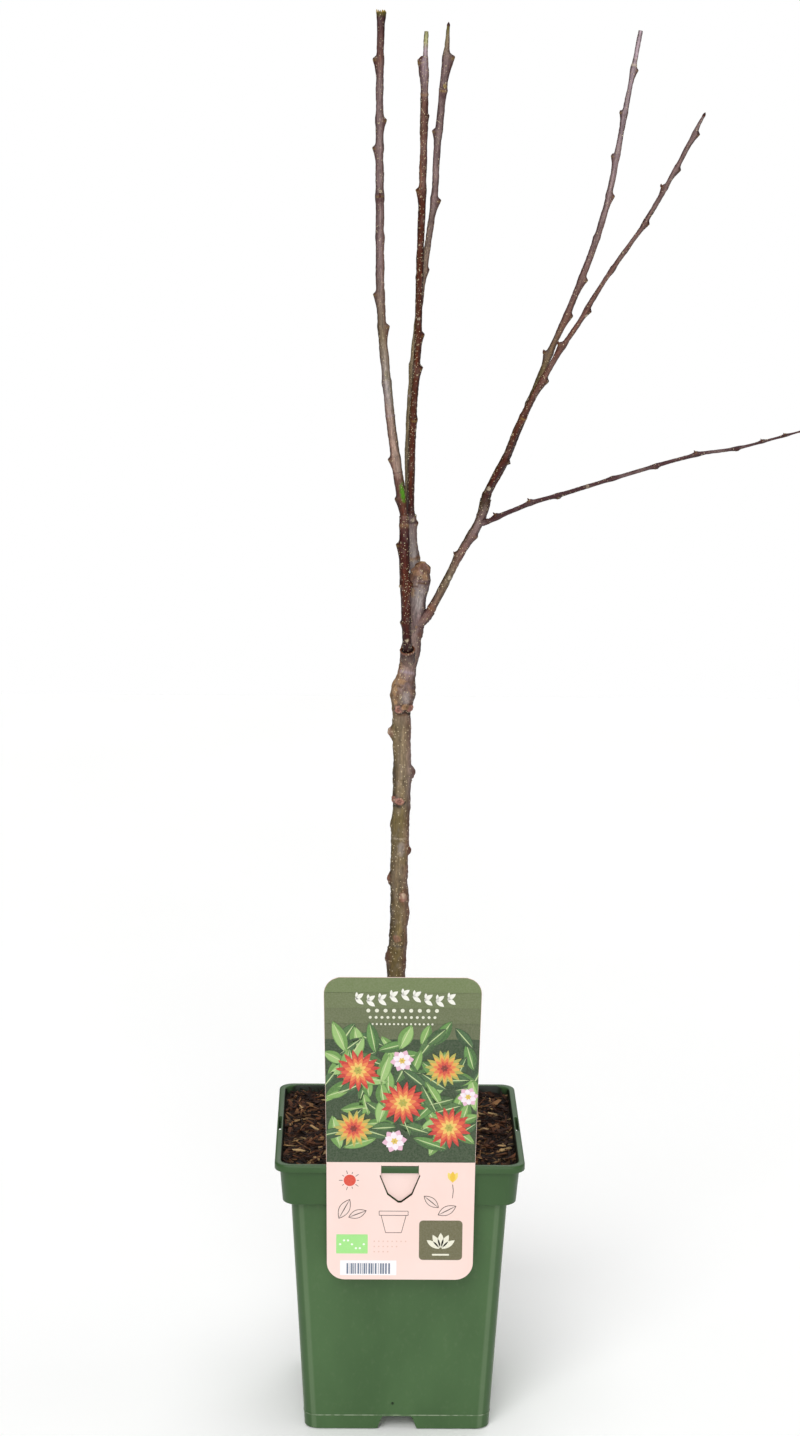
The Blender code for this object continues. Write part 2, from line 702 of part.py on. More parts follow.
def level_foot(obj, height):
    """Cut a solid flat at a height and close the cut."""
    bm = bmesh.new()
    bm.from_mesh(obj.data)
    everything = bm.verts[:] + bm.edges[:] + bm.faces[:]
    cut = bmesh.ops.bisect_plane(
        bm, geom=everything, plane_co=(0, 0, height * MM), plane_no=UP, clear_inner=True, dist=1e-6
    )
    edges = [piece for piece in cut["geom_cut"] if isinstance(piece, bmesh.types.BMEdge)]
    open_edges = [edge for edge in edges if edge.is_boundary]
    if open_edges:
        bmesh.ops.holes_fill(bm, edges=open_edges)
    bmesh.ops.recalc_face_normals(bm, faces=bm.faces)
    bm.to_mesh(obj.data)
    bm.free()


MAUVE_BARK = (0.19, 0.13, 0.13)
RED_BARK = (0.15, 0.06, 0.045)
OLIVE_BARK = (0.16, 0.14, 0.08)
SILVER_BARK = (0.27, 0.22, 0.20)

TRUNK = Trunk(
    "trunk",
    foot=TRUNK_FOOT,
    tip=TRUNK_TOP,
    bends=TRUNK_BENDS,
    taper=TRUNK_TAPER,
    colour=(0.22, 0.17, 0.14),
    sides_step=4,
)

FRONT_SHOOT = Limb(
    "front_shoot",
    foot=(2.9, -10.4, 607.4),
    tip=(-0.5, -7.0, 708.8),
    bends=(
        (0.05, -0.3, -2.3),
        (0.16, -0.3, -3.4),
        (0.39, -0.8, -3.9),
        (0.68, -1.0, -3.1),
        (0.88, -0.3, -1.4),
    ),
    taper=((0.0, 3.5), (0.15, 3.0), (1.0, 3.2)),
    buds=((0.21, 180, 0.5), (0.79, 180), (0.5, 20)),
    colour=RED_BARK,
    collar_length=14.0,
    collar_swell=1.55,
)
LEFT_SHOOT = Limb(
    "left_shoot",
    foot=(-0.9, -6.9, 709.4),
    tip=(-20.7, 41.0, 1077.5),
    bends=((0.08, -2.7, -0.2), (0.19, -6.5, -0.7), (0.41, -10.0, 0.1), (0.62, -7.4, 0.3), (0.83, -4.0, 0.1)),
    taper=((0.0, 2.7), (0.03, 3.7), (0.3, 3.2), (0.66, 3.0), (0.93, 2.1), (0.98, 2.4), (1.0, 3.5)),
    buds=(
        (0.035, 180, 0.6),
        (0.115, 180),
        (0.27, 90),
        (0.38, 0),
        (0.445, 180),
        (0.56, 80),
        (0.64, 270),
        (0.735, 180),
        (0.79, 0),
        (0.91, 180),
    ),
    colour=MAUVE_BARK,
)
REAR_BOUGH = Limb(
    "rear_bough",
    foot=(10.2, 14.2, 645.0),
    tip=(4.9, 11.0, 706.3),
    bends=((0.13, 0.2, 3.5), (0.36, 0.2, 4.5), (0.67, -0.5, 3.3), (0.88, -0.1, 1.2)),
    taper=((0.0, 4.2), (0.7, 3.6), (1.0, 3.9)),
    buds=((0.9, 0, 0.6),),
    colour=SILVER_BARK,
    collar_length=12.0,
)
CENTRE_SHOOT = Limb(
    "centre_shoot",
    foot=(4.4, 9.5, 710.4),
    tip=(11.2, -45.0, 1065.6),
    bends=(
        (0.11, -0.5, 0.6),
        (0.22, -0.2, 1.0),
        (0.35, 1.3, 1.4),
        (0.53, 0.9, 1.2),
        (0.71, 1.0, 1.4),
        (0.93, -0.2, 0.3),
    ),
    taper=((0.0, 2.8), (0.35, 2.2), (0.9, 2.4), (0.95, 1.7), (1.0, 1.3)),
    buds=((0.2, 290), (0.31, 0), (0.38, 0), (0.5, 90), (0.68, 180), (0.83, 60), (0.943, 180, 1.7)),
    colour=RED_BARK,
)
CROSSING_SHOOT = Limb(
    "crossing_shoot",
    foot=(3.5, 15.2, 712.1),
    tip=(29.2, 40.0, 1068.2),
    bends=(
        (0.06, -2.6, 0.4),
        (0.14, -4.7, 0.4),
        (0.30, -5.9, 0.5),
        (0.45, -4.1, 0.7),
        (0.66, 0.0, -0.1),
        (0.73, -0.9, -0.2),
        (0.92, 0.2, 0.0),
    ),
    taper=((0.0, 2.3), (0.6, 2.2), (0.92, 2.4), (0.96, 1.5), (1.0, 0.9)),
    buds=((0.3, 100), (0.5, 60), (0.645, 0, 1.2), (0.785, 180), (0.87, 270), (0.94, 0, 1.5)),
    colour=OLIVE_BARK,
)
RIGHT_BOUGH = Limb(
    "right_bough",
    foot=(20.3, 0.0, 635.4),
    tip=(61.0, 6.0, 720.2),
    bends=((0.30, 0.9, 0.2), (0.48, 0.9, 0.3), (0.78, 3.3, 0.3), (0.90, 2.3, 0.1)),
    taper=((0.0, 3.1), (0.4, 2.9), (0.8, 3.2), (1.0, 3.6)),
    buds=((0.5, 180, 0.5), (0.70, 330, 0.6)),
    colour=OLIVE_BARK,
    collar_length=13.0,
)
RIGHT_INNER_SHOOT = Limb(
    "right_inner_shoot",
    foot=(63.3, 9.6, 724.6),
    tip=(174.4, 69.0, 1065.9),
    bends=(
        (0.07, 4.4, -1.4),
        (0.14, 6.4, -3.0),
        (0.32, 10.8, -5.0),
        (0.41, 14.3, -3.7),
        (0.56, 17.2, -2.6),
        (0.66, 15.9, -2.0),
        (0.83, 8.0, -1.1),
    ),
    taper=((0.0, 2.6), (0.3, 2.4), (0.5, 2.5), (0.8, 2.1), (1.0, 1.7)),
    buds=(
        (0.2, 90),
        (0.31, 180),
        (0.40, 0),
        (0.48, 0),
        (0.57, 90),
        (0.66, 0),
        (0.74, 180),
        (0.83, 180),
        (0.92, 0),
    ),
    colour=MAUVE_BARK,
)
RIGHT_OUTER_SHOOT = Limb(
    "right_outer_shoot",
    foot=(61.8, 2.6, 725.6),
    tip=(210.3, -55.0, 1008.1),
    bends=(
        (0.04, -0.9, 0.1),
        (0.10, -1.2, 0.9),
        (0.18, -4.4, 2.3),
        (0.36, -5.3, 4.0),
        (0.45, -3.3, 3.5),
        (0.54, -2.8, 3.7),
        (0.63, -0.6, 3.8),
        (0.72, 2.0, 2.9),
        (0.87, 2.1, 1.8),
    ),
    taper=((0.0, 2.6), (0.28, 2.3), (0.38, 1.8), (0.6, 1.4), (0.95, 1.4), (1.0, 0.8)),
    buds=(
        (0.09, 10),
        (0.2, 280),
        (0.30, 0),
        (0.39, 180),
        (0.49, 0),
        (0.6, 90),
        (0.73, 0),
        (0.82, 180),
        (0.87, 0),
        (0.965, 180),
    ),
    colour=RED_BARK,
)
SIDE_TWIG = Limb(
    "side_twig",
    foot=(63.6, 1.3, 704.2),
    tip=(285.0, -70.0, 783.1),
    bends=(
        (0.08, -2.6, -0.6),
        (0.16, -4.8, -2.3),
        (0.24, -4.8, -3.7),
        (0.45, -5.7, -4.4),
        (0.69, -5.3, -3.3),
        (0.81, -1.3, -1.6),
    ),
    taper=((0.0, 1.8), (0.3, 1.5), (0.7, 1.3), (1.0, 0.6)),
    buds=(
        (0.03, 180),
        (0.15, 180),
        (0.24, 0),
        (0.42, 90),
        (0.56, 0),
        (0.69, 180),
        (0.81, 0),
        (0.89, 180),
        (0.96, 180),
    ),
    colour=MAUVE_BARK,
    sides_step=1,
    collar_length=5.0,
)

CARRIED_BY_TRUNK = (FRONT_SHOOT, REAR_BOUGH, RIGHT_BOUGH)
LIMBS = (
    (FRONT_SHOOT, (LEFT_SHOOT,)),
    (LEFT_SHOOT, ()),
    (REAR_BOUGH, (CENTRE_SHOOT, CROSSING_SHOOT)),
    (CENTRE_SHOOT, ()),
    (CROSSING_SHOOT, ()),
    (RIGHT_BOUGH, (RIGHT_INNER_SHOOT, RIGHT_OUTER_SHOOT, SIDE_TWIG)),
    (RIGHT_INNER_SHOOT, ()),
    (RIGHT_OUTER_SHOOT, ()),
    (SIDE_TWIG, ()),
)


def main():
    """Build every sub-part into one collection."""
    clear_scene()
    collection = bpy.data.collections.new("potted elstar apple tree")
    bpy.context.scene.collection.children.link(collection)
    build_pot(collection)
    build_soil(collection)
    build_label(collection)
    build_trunk(TRUNK, CARRIED_BY_TRUNK, collection)
    for limb, children in LIMBS:
        build_limb(limb, children, collection)


main()
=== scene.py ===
"""Looks of the potted elstar apple tree: a bare, pruned young tree in a green nursery pot with its card.

Sizes are in millimetres and turned to metres where a mesh is made. The limbs, pot, soil and card keep the
sizes of their solids; what is added here is their bark relief, buds, scars, chips, print and finishes.
"""

import logging
import math
from collections.abc import Sequence
from dataclasses import dataclass, field
from enum import Enum

import bmesh
import bpy
import numpy as np
from mathutils import Matrix, Vector

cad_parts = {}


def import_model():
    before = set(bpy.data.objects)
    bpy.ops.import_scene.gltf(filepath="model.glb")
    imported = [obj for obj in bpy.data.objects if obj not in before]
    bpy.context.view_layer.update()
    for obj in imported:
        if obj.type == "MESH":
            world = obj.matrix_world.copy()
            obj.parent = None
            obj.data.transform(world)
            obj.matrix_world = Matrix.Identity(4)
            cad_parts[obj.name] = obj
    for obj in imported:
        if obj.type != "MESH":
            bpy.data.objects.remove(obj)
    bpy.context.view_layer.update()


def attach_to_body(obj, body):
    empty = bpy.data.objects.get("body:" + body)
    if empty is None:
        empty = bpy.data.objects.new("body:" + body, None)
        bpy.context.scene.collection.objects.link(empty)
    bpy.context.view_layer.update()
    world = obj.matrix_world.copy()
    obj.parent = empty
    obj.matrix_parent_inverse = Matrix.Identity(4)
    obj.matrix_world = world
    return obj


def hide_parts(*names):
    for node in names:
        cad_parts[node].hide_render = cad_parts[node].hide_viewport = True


LOG = logging.getLogger("apple_tree")
MM = 0.001
TURN = 2 * math.pi
QUARTER = math.pi / 2
DEPTH = Vector((0, 1, 0))
UP = Vector((0, 0, 1))
NOUGHT = (0, 0, 0)

Triple = tuple[float, float, float]
Stops = tuple[tuple[float, str], ...]
Material = bpy.types.Material
Mesh = bpy.types.Mesh
Object = bpy.types.Object
Values = np.ndarray
Socket = bpy.types.NodeSocket
Tree = bpy.types.NodeTree
BMesh = bmesh.types.BMesh
Pairs = Sequence[tuple[float, float]]


def srgb(code: str) -> tuple[float, float, float, float]:
    """Turn an sRGB hex colour such as #3D5A34 to linear RGBA."""
    parts = [int(code[i : i + 2], 16) / 255 for i in (1, 3, 5)]
    return (*(c / 12.92 if c <= 0.04045 else ((c + 0.055) / 1.055) ** 2.4 for c in parts), 1.0)


class Tone(Enum):
    """Base colours of bark, scars and cut wood, dealt out over the limbs by name. The silvery tone is partly
    the bark's silvery skin and partly a painted highlight, the pith brown is also painted shade in folds,
    creases and grooves, and the shadow tone is painted shade.
    """

    TAUPE = "#8B7A62"
    OLIVE = "#786A49"
    UMBER = "#4A3B22"
    ROSE = "#7C5A50"
    MAUVE = "#8C7674"
    HAZE = "#B3A0A8"
    DUSK = "#553C3E"
    # Partly the bark's silvery skin, partly a painted highlight on the lit middles and front strips of the
    # limbs.
    SILVER = "#B0A5A1"
    FAWN = "#AB9183"
    RUST = "#5E3528"
    CHESTNUT = "#4B2A21"
    WINE = "#3A1B18"
    NUT = "#7E5335"
    CALLUS = "#AE8962"
    CREAM = "#D6C5AA"
    PINK = "#B37E6F"
    STRAW = "#BFA355"
    GREEN = "#568F10"
    MOSS = "#6A6334"
    WOOD = "#B5B384"
    # Also painted shade: this brown is laid in the trunk's creases, the hollows of its folds and the grooves
    # round the collars.
    PITH = "#644730"
    SHADOW = "#22150F"

    @property
    def linear(self) -> Values:
        """The tone as linear red, green and blue, less what the gloss of the skin adds to it."""
        return np.maximum(np.array(srgb(self.value)[:3]) - 0.02, 0.002) * 0.92


def add(tree: Tree, kind: str, *values: object, out: str | int = 0, **settings: object) -> Socket:
    """Add a node with its settings, and set or link its inputs.

    Args:
        tree: the tree that gets the node.
        kind: the node's type name, without what kinds of node share in front.
        *values: what its first inputs take in order; a dict has them by name or number.
        out: the output that is handed back.
        **settings: the node's own properties.

    Returns:
        The output, whose node has the others.
    """
    fronts = ("ShaderNode", "GeometryNode", "FunctionNode", "")
    node = tree.nodes.new(next(front + kind for front in fronts if hasattr(bpy.types, front + kind)))
    for name, value in settings.items():
        setattr(node, name, value)
    for place, value in enumerate(values):
        for name, given in value.items() if isinstance(value, dict) else ((place, value),):
            if isinstance(given, Socket):
                tree.links.new(given, node.inputs[name])
            else:
                node.inputs[name].default_value = given
    return node.outputs[out] if node.outputs else None


def times(tree: Tree, total: Socket, *factors: object) -> Socket:
    """The product of a socket and other sockets or numbers."""
    for factor in factors:
        total = add(tree, "Math", total, factor, operation="MULTIPLY")
    return total


def stepped(tree: Tree, vector: Socket, *steps: tuple[str, object]) -> Socket:
    """Take a vector through steps of an operation and its operand."""
    for operation, operand in steps:
        vector = add(tree, "VectorMath", vector, operand, operation=operation)
    return vector


def ramp(tree: Tree, factor: Socket, stops: Stops) -> Socket:
    """Add a colour ramp of places from 0 to 1 with their sRGB hex colours."""
    colour = add(tree, "ValToRGB", factor)
    elements = colour.node.color_ramp.elements
    while len(elements) < len(stops):
        elements.new(0.5)
    for element, (place, code) in zip(elements, stops):
        element.position = place
        element.color = srgb(code)
    return colour


def mix(tree: Tree, factor: object, first: Socket, second: object, blend: str = "MIX") -> Socket:
    """Mix two colours; a hex code or a socket is mixed in by the factor."""
    colours = (srgb(colour) if isinstance(colour, str) else colour for colour in (first, second))
    inputs = dict(zip((0, 6, 7), (factor, *colours)))
    return add(tree, "Mix", inputs, out=2, data_type="RGBA", blend_type=blend)


def spread(tree: Tree, value: Socket, low: float, high: float, start: float = 0, end: float = 1) -> Socket:
    """Map a value from low and high to start and end, kept inside them."""
    return add(tree, "MapRange", value, low, high, start, end)


def noise(tree: Tree, place: Socket, size_mm: Triple, detail: float = 2.0) -> Socket:
    """Noise from about 0.25 to 0.75 whose lumps have a real size along each way of a place in millimetres."""
    moved = stepped(tree, place, ("MULTIPLY", [1 / size for size in size_mm]))
    return add(tree, "TexNoise", {"Vector": moved, "Scale": 1.0, "Detail": detail})


def object_mm(tree: Tree) -> Socket:
    """The position on the piece in millimetres."""
    place = add(tree, "TexCoord", out="Object")
    return add(tree, "VectorMath", place, {"Scale": 1 / MM}, operation="SCALE")


def raised(tree: Tree, height: Socket, depth_mm: float) -> Socket:
    """The normal of a surface that a height pattern raises, as deep as depth_mm."""
    return add(tree, "Bump", {"Height": height, "Distance": depth_mm * MM, "Strength": 1.0})


@dataclass(frozen=True)
class Finish:
    """A finish: its name, its shader's roughness, index of refraction and share of gloss."""

    name: str
    roughness: float = 0.5
    ior: float = 1.45
    gloss: float = 0.5

    def build(self) -> Material:
        """Make the material and link its pattern to its shader."""
        material = bpy.data.materials.new(self.name)
        material.use_nodes = True
        tree = material.node_tree
        inputs = tree.nodes["Principled BSDF"].inputs
        constants = {"Roughness": self.roughness, "IOR": self.ior, "Specular IOR Level": self.gloss}
        for name, value in constants.items():
            inputs[name].default_value = value
        for name, socket in self.dress(tree).items():
            tree.links.new(socket, inputs[name])
        return material

    def dress(self, tree: Tree) -> dict[str, Socket]:
        """The finish's own pattern, by the shader's inputs; the plain base has none."""
        return {}


@dataclass(frozen=True)
class Bark(Finish):
    """Young apple bark, grown smooth over a thin cork: waxy and streaked along the limb, dotted with pores.

    The colour's place comes from the tint attribute; the grain attribute is the skin unrolled in millimetres.
    """

    streak: float = 0.2
    mottle: float = 0.35
    pore_mm: float = 2.6
    pore: str = "#CDBB98"
    pore_share: float = 0.6
    depth_mm: float = 0.35

    def dress(self, tree: Tree) -> dict[str, Socket]:
        """Streak, mottle and dot the tint."""
        tint = add(tree, "Attribute", attribute_name="tint", out="Color")
        grain = add(tree, "Attribute", attribute_name="grain", out="Vector")
        long_streaks = noise(tree, grain, (0.9, 0.9, 16.0), 3.0)
        fine_streaks = noise(tree, grain, (0.4, 0.4, 2.6))
        blotches = noise(tree, grain, (4.0, 4.0, 7.0), 3.0)
        least, most = 1 - self.streak, 1 + self.streak
        light = times(tree, spread(tree, long_streaks, 0.33, 0.67, least, most),
                      spread(tree, fine_streaks, 0.3, 0.7, least, most))
        colour = mix(tree, 1.0, tint, add(tree, "CombineColor", light, light, light), "MULTIPLY")
        colour = mix(tree, spread(tree, blotches, 0.5, 0.74, 0.0, self.mottle * 0.45), colour, "#A2968F")
        colour = mix(tree, spread(tree, blotches, 0.26, 0.44, self.mottle, 0.0), colour, "#35251A")
        apart = 1 / self.pore_mm
        cells = stepped(tree, grain, ("MULTIPLY", (apart, apart, apart * 0.8)))
        middle = add(tree, "TexVoronoi", {"Vector": cells, "Scale": 1.0, "Randomness": 1.0})
        pores = spread(tree, middle, 0.1, 0.22, self.pore_share, 0.0)
        height = add(tree, "Math", fine_streaks, long_streaks, operation="ADD")
        height = add(tree, "Math", height, pores, operation="ADD")
        return {
            "Base Color": mix(tree, pores, colour, self.pore),
            "Roughness": spread(tree, blotches, 0.3, 0.7, self.roughness - 0.08, self.roughness + 0.1),
            "Normal": raised(tree, height, self.depth_mm),
        }


@dataclass(frozen=True)
class Speckled(Finish):
    """A natural finish in two or three colours that run into each other in small lumps."""

    colours: Stops = ()
    lump_mm: Triple = (1.0, 1.0, 1.0)
    depth_mm: float = 0.1

    def dress(self, tree: Tree) -> dict[str, Socket]:
        """Lay the colours on noise."""
        lumps = noise(tree, object_mm(tree), self.lump_mm, 3.0)
        return {"Base Color": ramp(tree, lumps, self.colours), "Normal": raised(tree, lumps, self.depth_mm)}


@dataclass(frozen=True)
class ChipFinish(Finish):
    """Composted bark, shredded: each chip has its own brown, near black to straw, and fibres along it."""

    colours: Stops = (
        (0.0, "#160D09"), (0.3, "#2B1A14"), (0.55, "#482B1C"),
        (0.78, "#694129"), (0.92, "#936B44"), (1.0, "#BFA070"),
    )
    low_shade_at: float = 219.0

    def dress(self, tree: Tree) -> dict[str, Socket]:
        """Give each chip its brown and its fibres, and paint shade on the low ones."""
        place = object_mm(tree)
        shade = add(tree, "Attribute", attribute_name="shade", out="Fac")
        fibre = noise(tree, place, (1.4, 1.4, 0.7), 4.0)
        gap = spread(tree, fibre, 0.35, 0.7, 0.0, 0.3)
        colour = mix(tree, gap, ramp(tree, shade, self.colours), "#1A110C")
        height = add(tree, "SeparateXYZ", place, out="Z")
        # Painted shade: chips are darkened the lower they lie.
        damp_and_shaded = spread(tree, height, self.low_shade_at, self.low_shade_at + 3.0, 0.85, 0.0)
        return {"Base Color": mix(tree, damp_and_shaded, colour, "#0E0806"), "Normal": raised(tree, fibre, 0.3)}


@dataclass(frozen=True)
class Moulded(Finish):
    """Polypropylene, injection moulded from recycled stock: satin, with faint flow clouds and a tooled skin.

    A place is in millimetres. A slope is how much a wall's half width grows with each millimetre of height.
    """

    colour: str = "#3D5A34"
    cloud: str = "#46643C"
    # Near black of the painted shade inside the rim, partly a smear of soil, and in the pit.
    stain_and_shade: str = "#0B1109"
    # Green of the painted shade on the collar and lip and on the corners of the body.
    painted_shade_green: str = "#2C4A24"
    # Pale of the seam's dashes, and of the painted highlight on the body's corners.
    seam_and_highlight_pale: str = "#A9B59B"
    pit: Triple = (-3.5, -73.1, 21.7)
    seam_at: float = 11.6
    collar_from: float = 190.2
    inner_shade_from: float = 194.0
    inner_square: float = 79.0
    inner_slope: float = 0.083
    inner_reach: float = -6.59
    corner_square: float = 60.9
    corner_slope: float = 0.05725

    def dress(self, tree: Tree) -> dict[str, Socket]:
        """Cloud and dust the plastic, pale its seam in dashes, paint a highlight and shade on the body's
        corners, paint shade on the collar and lip and in the pit, and darken the inside of the rim with
        painted shade and a smear of soil.
        """
        place = object_mm(tree)
        height = add(tree, "SeparateXYZ", place, out="Z")
        clouds = noise(tree, place, (42.0, 42.0, 90.0), 3.0)
        colour = mix(tree, spread(tree, clouds, 0.35, 0.7), self.colour, self.cloud)
        dust = noise(tree, place, (3.0, 3.0, 5.0), 5.0)
        colour = mix(tree, spread(tree, dust, 0.55, 0.75, 0.0, 0.06), colour, "#8A9178")
        near_seam = add(tree, "Math", height, self.seam_at, 0.35, operation="COMPARE")
        dashes = spread(tree, noise(tree, place, (4.0, 4.0, 30.0), 1.0), 0.4, 0.56, 0.15, 0.6)
        colour = mix(tree, times(tree, near_seam, dashes), colour, self.seam_and_highlight_pale)
        colour = self.paint_corner_highlight_and_shade(tree, place, height, colour)
        square = (self.inner_square, self.inner_square, 0)
        past = stepped(tree, place, ("ABSOLUTE", NOUGHT), ("SUBTRACT", square), ("MAXIMUM", NOUGHT),
                       ("MULTIPLY", (1, 1, 0)))
        reach = add(tree, "VectorMath", past, operation="LENGTH", out="Value")
        wall = add(tree, "Math", height, self.inner_slope, self.inner_reach, operation="MULTIPLY_ADD")
        inside = spread(tree, add(tree, "Math", wall, reach, operation="SUBTRACT"), 0.0, 0.3)
        # Painted shade inside the rim above the soil, partly a smear of soil: the inner wall is darkened to
        # near black.
        inner_shade_and_film = times(tree, inside, spread(tree, height, self.inner_shade_from, self.inner_shade_from + 2), 0.93)
        colour = mix(tree, inner_shade_and_film, colour, self.stain_and_shade)
        # Painted shade: the small pit moulded in the front is darkened.
        pit = add(tree, "VectorMath", place, self.pit, operation="DISTANCE", out="Value")
        colour = mix(tree, spread(tree, pit, 1.0, 1.3, 0.9, 0.0), colour, self.stain_and_shade)
        # Painted shade: the collar and lip are darkened, less where the inside is already darkened.
        pores_and_collar_shade = spread(tree, height, self.collar_from, self.collar_from + 0.4, 0.0, 0.5)
        pores_and_collar_shade = add(tree, "Math", pores_and_collar_shade, inner_shade_and_film, operation="SUBTRACT", use_clamp=True)
        return {
            "Base Color": mix(tree, pores_and_collar_shade, colour, self.painted_shade_green),
            "Roughness": spread(tree, clouds, 0.3, 0.7, self.roughness - 0.05, self.roughness + 0.07),
            "Normal": raised(tree, noise(tree, place, (0.8, 0.8, 0.8)), 0.03),
        }

    def paint_corner_highlight_and_shade(self, tree: Tree, place: Socket, height: Socket, colour: Socket) -> Socket:
        """Paint a highlight on the body's corners where they start to turn, and paint shade across the middle
        of each corner.
        """
        slope, square = self.corner_slope, self.corner_square
        start = add(tree, "Math", height, slope, square, operation="MULTIPLY_ADD")
        start = add(tree, "CombineXYZ", start, start)
        past = stepped(tree, place, ("ABSOLUTE", NOUGHT), ("SUBTRACT", start), ("MAXIMUM", NOUGHT))
        past = add(tree, "SeparateXYZ", past).node.outputs
        turn = times(tree, past["X"], past["Y"])
        body = spread(tree, height, self.collar_from, self.collar_from + 0.4, 1.0, 0.0)
        turned = spread(tree, turn, 46.0, 54.0, 1.0, 0.0)
        # Painted highlight where a corner starts to turn, and painted shade across its middle.
        pale = times(tree, spread(tree, turn, 8.0, 24.0, 0.0, 0.1), turned, body)
        deep = times(tree, spread(tree, turn, 46.0, 56.0, 0.0, 0.34), body)
        return mix(tree, deep, mix(tree, pale, colour, self.seam_and_highlight_pale), self.painted_shade_green)


@dataclass(frozen=True)
class CardStock(Finish):
    """Polypropylene sheet, calendered and die cut: smooth and pale, with a hair of grain from the rollers."""

    def dress(self, tree: Tree) -> dict[str, Socket]:
        """Tint the sheet unevenly and ripple it very slightly."""
        place = object_mm(tree)
        clouds = spread(tree, noise(tree, place, (30.0, 30.0, 45.0)), 0.3, 0.7, 0.0, 0.35)
        ripples = noise(tree, place, (18.0, 18.0, 26.0))
        return {"Base Color": mix(tree, clouds, "#ECCFC6", "#EFDAD4"), "Normal": raised(tree, ripples, 0.25)}


@dataclass(frozen=True)
class Ink(Finish):
    """Offset printing ink under a clear varnish: flat colours with the faint unevenness of a fast press."""

    def dress(self, tree: Tree) -> dict[str, Socket]:
        """Take each shape's colour from the ink attribute."""
        ink = add(tree, "Attribute", attribute_name="ink", out="Color")
        press = spread(tree, noise(tree, object_mm(tree), (1.2, 1.2, 1.2), 3.0), 0.35, 0.75, 0.0, 0.06)
        return {"Base Color": mix(tree, press, ink, "#F2E8D8")}


def linked(name: str, data: bpy.types.ID) -> Object:
    """A new object, linked to the scene."""
    obj = bpy.data.objects.new(name, data)
    bpy.context.scene.collection.objects.link(obj)
    return obj


@dataclass(frozen=True)
class Studio(Finish):
    """A floor painted matt and pale, with the soft lights and the white surroundings.

    A light has a name, degrees round from the front, degrees up, a share of the light, and its softness.
    """

    dome: float = 0.16
    reach: float = 5.2
    suns: tuple[tuple[str, float, float, float, float], ...] = (
        ("key", -18.0, 40.0, 0.44, 30.0),
        ("front", 4.0, 12.0, 0.3, 24.0),
        ("top", 0.0, 84.0, 0.35, 50.0),
        ("side", 85.0, 30.0, 0.05, 40.0),
        ("back", 168.0, 38.0, 0.24, 50.0),
    )

    def dress(self, tree: Tree) -> dict[str, Socket]:
        """Paint the floor with a trace of unevenness."""
        return {"Base Color": mix(tree, noise(tree, object_mm(tree), (300.0,) * 3), "#FDFDFC", "#FFFFFF")}

    def set_out(self) -> None:
        """Make the floor, the lights and the surroundings."""
        scene = bpy.context.scene
        scene.world = bpy.data.worlds.new("studio")
        scene.world.use_nodes = True
        tree = scene.world.node_tree
        lit = tree.nodes["Background"]
        lit.inputs["Color"].default_value = (1, 1, 1, 1)
        lit.inputs["Strength"].default_value = self.dome
        white = add(tree, "Background", srgb("#FFFFFF"), 1.0)
        seen = add(tree, "LightPath", out="Is Camera Ray")
        both = add(tree, "MixShader", seen, lit.outputs[0], white)
        tree.links.new(both, tree.nodes["World Output"].inputs["Surface"])
        half, level = self.reach / 2, -0.5 * MM
        corners = ((-half, -half, level), (half, -half, level), (half, half, level), (-half, half, level))
        mesh = bpy.data.meshes.new("floor")
        mesh.from_pydata(corners, [], [(0, 1, 2, 3)])
        mesh.materials.append(self.build())
        linked("floor", mesh)
        for name, azimuth, elevation, share, soft in self.suns:
            data = bpy.data.lights.new(name, "SUN")
            data.energy = share * math.pi
            data.angle = math.radians(soft)
            turn, rise = math.radians(azimuth), math.radians(elevation)
            flat = math.cos(rise)
            towards = Vector((math.sin(turn) * flat, -math.cos(turn) * flat, math.sin(rise)))
            linked(name, data).rotation_euler = towards.to_track_quat("Z", "Y").to_euler()
        scene.view_settings.view_transform = "Standard"


@dataclass(frozen=True)
class Viewpoint:
    """The camera where the photograph was taken from, in metres and radians."""

    place: Triple = (-0.0396, -2.4285, 1.1006)
    yaw: float = 0.01547
    pitch: float = 0.22228
    roll: float = 0.01022
    lens_mm: float = 81.73

    def build(self) -> None:
        """Make the camera and look through it."""
        flat = math.cos(self.pitch)
        forward = Vector((math.sin(self.yaw) * flat, math.cos(self.yaw) * flat, -math.sin(self.pitch)))
        level = Vector((math.cos(self.yaw), -math.sin(self.yaw), 0))
        upright = level.cross(forward)
        right = level * math.cos(self.roll) + upright * math.sin(self.roll)
        up = upright * math.cos(self.roll) - level * math.sin(self.roll)
        data = bpy.data.cameras.new("camera")
        data.lens = self.lens_mm
        data.sensor_width = 36.0
        camera = linked("camera", data)
        axes = Matrix((right, up, -forward)).transposed().to_4x4()
        camera.matrix_world = Matrix.Translation(self.place) @ axes
        bpy.context.scene.camera = camera


def shown(name: str, mesh: Mesh, slot: str, *nodes: str) -> None:
    """Put a finished mesh in the scene as a piece.

    Args:
        name: the piece's name.
        mesh: its mesh, in place and in metres.
        slot: the record's slot that it would take its finish from; not used.
        *nodes: the solids that it stands for.
    """
    piece = linked(name, mesh)
    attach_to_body(piece, "root")
    if nodes:
        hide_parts(*nodes)
    LOG.info("made %s with %d faces", name, len(mesh.polygons))


def evaluated(obj: Object) -> Mesh:
    """The object's plain mesh with its modifiers applied, and the object dropped."""
    mesh = bpy.data.meshes.new_from_object(obj.evaluated_get(bpy.context.evaluated_depsgraph_get()))
    obj.modifiers.clear()
    bpy.data.objects.remove(obj, do_unlink=True)
    return mesh


